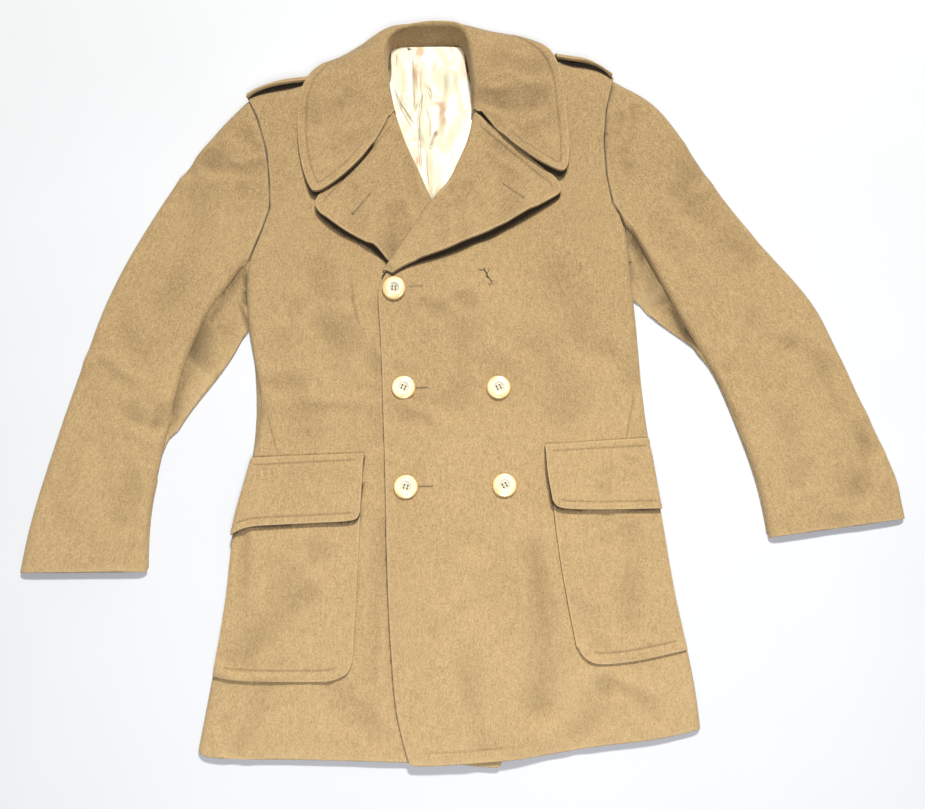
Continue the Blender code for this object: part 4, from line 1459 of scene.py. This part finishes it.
class Coat:
    """The whole coat, piece by piece."""

    # The armhole seams, pressed in with shade painted along them.
    RIGHT_ARMHOLE = Seam(
        (
            (-257, 402), (-247, 384), (-232, 355), (-220, 314), (-216, 274), (-214, 241),
            (-222, 214), (-231, 190), (-239, 170),
        ), 1.0, 1.2, 0.75,
    )
    LEFT_ARMHOLE = Seam(
        (
            (223, 428), (216, 411), (205, 367), (202, 327), (204.5, 284), (211, 247), (220, 232),
            (226, 215),
        ), 1.0, 1.2, 0.8,
    )
    # Where shade is painted on an under sleeve along the edge of its upper sleeve.
    RIGHT_ARM_SHADE = (
        (-241, 180), (-259, 141), (-283, 98), (-302, 54), (-314, 10), (-319, -40),
    )
    LEFT_ARM_SHADE = ((226, 222), (251, 175), (274, 125), (298, 76), (311, 54))
    RIGHT_GORGE = ((-63, 374), (-66, 368), (-73, 349), (-82, 328))
    LEFT_GORGE = ((35, 376), (38, 368), (51, 358), (67, 340))
    NECK_SEAM = (
        (-64, 383), (-67, 402), (-70, 424), (-71, 442), (-66, 458), (-53, 461), (-37, 461),
        (-4, 462), (20, 463), (28, 451), (31, 432), (34, 418), (36, 404), (37, 388),
    )
    NECK_FOLD = ((-78, 480), (-60, 489), (-28, 492), (3, 494), (28, 491), (48, 481), (72, 478))
    # Where a front is finer, under the edge of its lapel.
    UNDER_RIGHT_LAPEL = ((-157, 238), (-137, 217), (-119, 204), (-103, 194), (-85, 182), (-68, 165))
    UNDER_LEFT_LAPEL = (
        (-66, 148), (-48, 155), (-26, 160), (2, 169), (34, 185), (70, 208), (107, 231), (147, 252),
    )
    HOLES = (
        Buttonhole((-40.9, 134.4), (-25.2, 135.2), True, 0.30, 0.9, True),
        Buttonhole((-31.1, 10.9), (-16.5, 11.6), False, 0.95, 0.0, False),
        Buttonhole((-27.0, -105.9), (-10.2, -105.2), False, 0.85, 0.0, False),
        Buttonhole((-88.6, 257.5), (-110.1, 230.4), True, 0.50, 1.7, False),
        Buttonhole((74.3, 271.4), (99.0, 251.5), True, 0.45, 1.0, True),
    )

    # Seams, darts and folds pressed into each piece, with shade painted along them.
    LINES = {
        "back_lining": LINING_LINES,
        "under_sleeve_right": (
            Seam(((-239, 176), (-238, 130), (-236, 84)), 0.6, 1.3, 0.8),
            Seam(RIGHT_ARM_SHADE, 0.0, 7.0, 0.45),
        ),
        "under_sleeve_left": (
            Seam(((227, 226), (231, 175), (235, 124)), 0.5, 1.0, 0.45),
            Seam(LEFT_ARM_SHADE, 0.0, 7.0, 0.8),
        ),
        "front_right": (
            RIGHT_ARMHOLE,
            Seam(((-206.5, -18), (-203, -32), (-198, -48), (-193, -66)), 0.6, 0.9, 0.35),
            Seam(((-111, 148), (-108.6, 121), (-101.6, 91)), 0.9, 1.6, 0.25),
            Seam(UNDER_RIGHT_LAPEL, 0.0, 6.0, 0.0),
        ),
        "front_left": (
            LEFT_ARMHOLE,
            Seam(((228, 12), (225, -10), (220, -34), (216.5, -50)), 0.6, 0.9, 0.35),
            Seam(((-24, -399), (30, -397), (81, -392)), 0.5, 1.0, 0.25),
            Seam(UNDER_LEFT_LAPEL, 0.0, 6.0, 0.0),
        ),
        "sleeve_right": (RIGHT_ARMHOLE,),
        "sleeve_left": (LEFT_ARMHOLE,),
    }
    PULLS = {
        "back_lining": (Pull(((-76, 454), (40, 454)), 14, (0, 7.6, -0.5)),),
        "under_sleeve_right": (
            Pull(((-240.5, 176), (-239.5, 130), (-237.5, 82)), 12, (3.0, 0, 0)),
            Pull(((-318, -50), (-328, -85)), 16, (-5.0, 2.0, 0)),
        ),
        "under_sleeve_left": (
            Pull(((226.5, 229), (232, 175), (236, 122)), 12, (-3.0, 0, 0)),
            Pull(((253, 98), (281, 76), (301, 62)), 12, (1.0, 3.0, 0)),
        ),
        "sleeve_right": (Pull(((-256, 402), (-245, 384)), 16, (3.4, 2.0, 1.5)),),
        "sleeve_left": (Pull(((223, 428), (216, 412)), 16, (-4.0, 4.0, 2.0)),),
        "lapel_right": (
            Pull(((-140, 222), (-103, 197), (-85, 187), (-68, 166)), 14, (0.6, 0.8, 1.5)),
            Pull(((-84, 186), (-66, 168)), 11, (2.0, 2.2, 1.0)),
        ),
        "lapel_left": (
            Pull(((-20, 165), (2, 173), (34, 188), (70, 213), (104, 234)), 15, (-0.5, 1.2, 1.6)),
            Pull(((-77, 148), (-68, 152)), 13, (2.0, 0.8, -3.5)),
        ),
        "collar": (
            Pull(RIGHT_GORGE, 12, (0, 0, -3.0)), Pull(LEFT_GORGE, 12, (0, 0, -3.0)),
            Pull(((80, 342), (108, 314), (150, 284)), 10, (0, 0, 1.2)),
            Pull(((-61, 373), (-66, 367)), 9, (1.0, -4.5, 0)),
            Pull(((36, 376), (42, 369)), 9, (-1.0, -4.5, 0)),
        ),
        "shoulder_loop_right": (
            Pull(((-170, 420), (-200, 414), (-244, 396)), 12, (0, -1.5, -1.5)),
        ),
        "shoulder_loop_left": (
            Pull(((150, 450), (180, 443), (210, 425)), 12, (0, -3.0, -2.0)),
        ),
    }
    # The edges that topstitching follows. The collar has it on all but its unsewn edges.
    SEWN = {
        "lapel_right": (((-61, 366), (-153, 257), (-157, 247)),),
        "lapel_left": (((38, 366), (140, 279), (146, 268)),),
        "pocket_right": (
            ((-118, -323), (-150, -323.5), (-190, -323.5), (-230, -322), (-262, -316)),
        ),
        "pocket_left": (((172, -305), (206, -303), (235, -298), (285, -287)),),
        "flap_right": (
            ((-88, -66), (-152, -69.5), (-216, -72), (-236, -73)),
            ((-108, -146.5), (-139, -148), (-208, -151.5), (-224, -153), (-244, -163)),
        ),
        "flap_left": (
            ((120, -56.5), (184, -52), (250, -48)),
            ((140, -132.3), (185, -133), (262, -131.5)),
        ),
    }
    JOINED = {
        "under_sleeve_right": ("front_right", "back"), "sleeve_right": ("front_right",),
        "under_sleeve_left": ("front_left", "back"), "sleeve_left": ("front_left",),
    }
    # The lining takes half the shade painted under the pieces over it.
    LINING = dict(
        slot=Slot.LINING, stains=LINING_STAINS, upper_only=False, room=0.9, shaded=0.5, ripple=0.3,
    )
    UNDER = dict(levels=2, firm=0.95)
    UPPER = dict(room=2.4)
    TURNED = dict(held=Held.FOLDED, stitch=COLLAR_STITCH, upper_only=False, ripple=0.2)
    COLLAR = TURNED | dict(
        unsewn=(RIGHT_GORGE[::-1] + NECK_SEAM + LEFT_GORGE, NECK_FOLD), ripple=0.25,
    )
    POCKET = dict(stitch=POCKET_STITCH, upper_only=False)
    FLAP = dict(stitch=FLAP_STITCH, upper_only=False)
    LOOP = dict(upper_only=False, ripple=0.1)
    # From the bottom up: node, flat width, length and area, what it rests on, grain, creases
    # and what else is its own.
    PIECES = (
        ("back", (0.57, 0.89, 0.42), (), Grain.BODY, (), dict(levels=2, ripple=0.0)),
        ("back_lining", (0.13, 0.26, 0.026), ("back",), None, LINING_FOLDS, LINING),
        ("under_sleeve_right", (0.20, 0.62, 0.085), (), Grain.RIGHT_ARM, RIGHT_UNDER_ARM, UNDER),
        ("under_sleeve_left", (0.20, 0.62, 0.085), (), Grain.LEFT_ARM, LEFT_UNDER_ARM, UNDER),
        ("front_right", (0.37, 0.83, 0.22), ("back",), Grain.BODY, RIGHT_BODY, {}),
        ("front_left", (0.37, 0.83, 0.24), ("back",), Grain.BODY, LEFT_BODY, {}),
        (
            "sleeve_right", (0.21, 0.66, 0.10), ("under_sleeve_right",), Grain.RIGHT_ARM,
            RIGHT_ARM, UPPER,
        ),
        (
            "sleeve_left", (0.21, 0.68, 0.10), ("under_sleeve_left",), Grain.LEFT_ARM,
            LEFT_ARM, UPPER,
        ),
        ("lapel_right", (0.16, 0.30, 0.025), ("front_right",), Grain.TURNED, RIGHT_TURNED, TURNED),
        ("lapel_left", (0.16, 0.26, 0.025), ("front_left",), Grain.TURNED, LEFT_TURNED, TURNED),
        ("pocket_right", (0.17, 0.25, 0.038), ("front_right",), Grain.BODY, RIGHT_BODY, POCKET),
        ("pocket_left", (0.17, 0.25, 0.036), ("front_left",), Grain.BODY, LEFT_BODY, POCKET),
        ("flap_right", (0.15, 0.09, 0.012), ("pocket_right",), Grain.BODY, RIGHT_BODY, FLAP),
        ("flap_left", (0.15, 0.09, 0.011), ("pocket_left",), Grain.BODY, LEFT_BODY, FLAP),
        (
            "collar", (0.50, 0.18, 0.056), ("lapel_left", "lapel_right"), Grain.TURNED,
            COLLAR_CREASES, COLLAR,
        ),
        ("shoulder_loop_right", (0.08, 0.03, 0.0023), ("front_right",), Grain.RIGHT_ARM, (), LOOP),
        ("shoulder_loop_left", (0.075, 0.03, 0.0021), ("front_left",), Grain.LEFT_ARM, (), LOOP),
    )

    def __init__(self) -> None:
        """Mix the finishes."""
        self.wools = {grain: NappedWool(grain=grain.value).material() for grain in Grain}
        self.satin = SatinLining().material()
        self.horn = TurnedHorn().material()
        self.tan_thread, self.dark_thread, self.olive_thread = (
            SpunThread(*look).material() for look in (
                ("tan_thread", (0.20, 0.125, 0.055), (0.40, 0.27, 0.13)),
                ("dark_thread", (0.012, 0.012, 0.008), (0.05, 0.045, 0.03)),
                ("olive_thread", (0.050, 0.042, 0.018), (0.13, 0.11, 0.055)),
            )
        )
        self.cloth: dict = {}

    def cut(self) -> list:
        """Every piece of cloth, from the bottom up.

        Returns:
            The pieces.
        """
        return [
            ClothPiece(
                node, flat, below, self.wools.get(grain, self.satin), folds=folds,
                lines=self.LINES.get(node, ()), pulls=self.PULLS.get(node, ()),
                sewn=self.SEWN.get(node, ()), joined_to=self.JOINED.get(node, ()), **own,
            )
            for node, flat, below, grain, folds, own in self.PIECES
        ]

    def build(self) -> None:
        """Build the cloth, then the sewing, then the buttons."""
        thread, slit = Thread(), Thread()
        pieces = self.cut()
        for part in pieces:
            self.cloth[part.node] = part.build()
        sewing = [self.topstitch(part, thread) for part in pieces]
        self.buttonholes(thread, slit)
        self.loose_threads()
        self.buttons(thread)

    def topstitch(self, part: ClothPiece, thread: Thread) -> list:
        """Topstitch one piece along its edges.

        Args:
            part: The piece.
            thread: Makes the stitches.
        Returns:
            The stitches as one piece, or nothing where it has none.
        """
        surface = Surface(part.piece)
        for line in part.seam_lines():
            spots = resampled(line, STITCH_PITCH)
            if len(spots) < SHORT_LINE:
                continue
            for first, second in zip(spots, spots[1:]):
                half = Vector((second - first) / 2 * STITCH_LENGTH / STITCH_PITCH) * MM
                place, normal = surface.nearest(Vector((first + second) / 2) * MM)
                thread.stitch(place - half, place + half, normal)
        return [thread.piece(part.node + "_topstitch", self.tan_thread)] if thread.made else []

    def upper(self, *nodes: str) -> Surface:
        """The upper side of some of the cloth."""
        return Surface(*(self.cloth[node] for node in nodes))

    def buttonholes(self, purl: Thread, slit: Thread) -> None:
        """Work the buttonholes of the left front and the lapels.

        Args:
            purl: Makes the purl stitches.
            slit: Makes the painted shade of the open slits.
        """
        surface = self.upper("front_left", "lapel_left", "lapel_right")
        # Dark olive bars paint the shade of the closed slits of worn buttonholes.
        faint = Thread()
        for hole in self.HOLES:
            hole.sew(surface, purl, faint if hole.worn else slit)
        purl.piece("buttonhole_purl", self.tan_thread)
        slit.piece("buttonhole_slits", self.dark_thread)
        faint.piece("buttonhole_worn_slits", self.olive_thread)

    def loose_threads(self) -> None:
        """The ends of thread where a button came off, and the tuft at the neck seam."""
        surface = self.upper("front_left", "back_lining", "collar", "under_sleeve_left")
        runs = (
            ((43.5, 156.5), (47, 154.5), (50, 155.5), (53, 151), (56, 146), (58, 141)),
            ((50, 158), (52, 154), (54.5, 150), (53, 146.5), (57, 143.5), (60.5, 141)),
            ((57.5, 157.5), (55, 152.5), (52.5, 149.5), (55.5, 146)),
            ((55, 138), (57.5, 136), (57, 133.5)),
            ((60, 142), (58.5, 139), (61, 137)),
            ((-46.7, 461), (-44.5, 457.5), (-43, 459.5), (-41, 462)),
            ((-45, 462.5), (-44.2, 458.5), (-45.5, 456)),
            ((-42.5, 457), (-44.5, 459), (-40.5, 458)),
            ((227.6, 172), (230, 171.4), (232.6, 174.6)),
        )
        thread = Thread()
        for k, run in enumerate(runs):
            spots = []
            for j, (x, y) in enumerate(run):
                place, normal = surface.at(x, y)
                spots.append(place + normal * MM * (0.2 + 0.7 * abs(math.sin(2.1 * j + k))))
            for first, second in zip(spots, spots[1:]):
                thread.stitch(first, second + (second - first) * 0.12, Vector((0, 0, 1)), 0.7)
        thread.piece("button_thread_ends", self.dark_thread)

    def buttons(self, thread: Thread) -> None:
        """Turn one button and lay it in its five places.

        Args:
            thread: Sews them on.
        """
        turns = {
            "button_top_right": -4, "button_mid_right": -22, "button_low_right": -16,
            "button_mid_left": 24, "button_low_left": 28,
        }
        pattern = Button("button_top_right", 0).turned(self.horn)
        for node, turn in turns.items():
            Button(node, turn).build(pattern, thread, self.olive_thread)
        bpy.data.objects.remove(pattern)


# Studio -------------------------------------------------------------------------------


@dataclass(frozen=True)
class Lamp:
    """A round area light that looks at the coat."""

    name: str
    place: tuple
    size: float
    power: float
    colour: tuple

    def hang(self) -> None:
        """Hang the lamp."""
        light = bpy.data.lights.new(self.name, "AREA")
        light.shape, light.size, light.energy = "DISK", self.size, self.power
        light.color = self.colour
        lamp = add_object(self.name, light)
        lamp.location = self.place
        lamp.rotation_euler = (-Vector(self.place)).to_track_quat("-Z", "Y").to_euler()


@dataclass(frozen=True)
class Studio:
    """A pale floor, a lamp past the neck, a softer one over the hem, and the photo's camera."""

    camera_at: tuple = (0.0245, -0.2414, 1.11)
    camera_tilt: float = 12.0
    lens: float = 36.97
    sensor: float = 36.0
    lamps: tuple = (
        Lamp("key", (0.5, 2.0, 3.1), 0.4, 144.0, (1.0, 0.985, 0.93)),
        Lamp("over_hem", (0.05, -0.60, 1.35), 0.5, 11.5, (0.98, 0.99, 1.06)),
    )
    fill: float = 0.22

    def build(self) -> None:
        """Set the floor, the lights and the camera."""
        bpy.ops.object.select_all(action="DESELECT")
        bpy.ops.mesh.primitive_plane_add(size=8.0, location=(0, 0, -0.0002))
        floor = bpy.context.object
        floor.name = "studio_floor"
        nodes = Nodes("pale_floor", 0.9)
        soft = nodes.cloud(nodes.place(), 3, 2)
        pale = nodes.ramp(soft, (0.0, (0.62, 0.63, 0.65)), (1.0, (0.68, 0.69, 0.71)))
        nodes.surface(Base_Color=pale)
        floor.data.materials.append(nodes.material)
        for lamp in self.lamps:
            lamp.hang()
        world = bpy.data.worlds.new("soft_sky")
        world.use_nodes = True
        sky = world.node_tree.nodes["Background"]
        sky.inputs["Color"].default_value = (0.96, 0.98, 1.0, 1)
        sky.inputs["Strength"].default_value = self.fill
        data = bpy.data.cameras.new("photo_camera")
        data.lens, data.sensor_width = self.lens, self.sensor
        camera = add_object("photo_camera", data)
        camera.location = self.camera_at
        camera.rotation_euler = (math.radians(self.camera_tilt), 0, 0)
        scene = bpy.context.scene
        scene.world, scene.camera = world, camera
        scene.view_settings.view_transform = "Standard"
        LOG.info("studio set")


def main() -> None:
    """Build the coat and the studio."""
    logging.basicConfig(level=logging.INFO, format="%(message)s")
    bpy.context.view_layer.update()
    Studio().build()
    Coat().build()


if __name__ == "__main__":
    main()
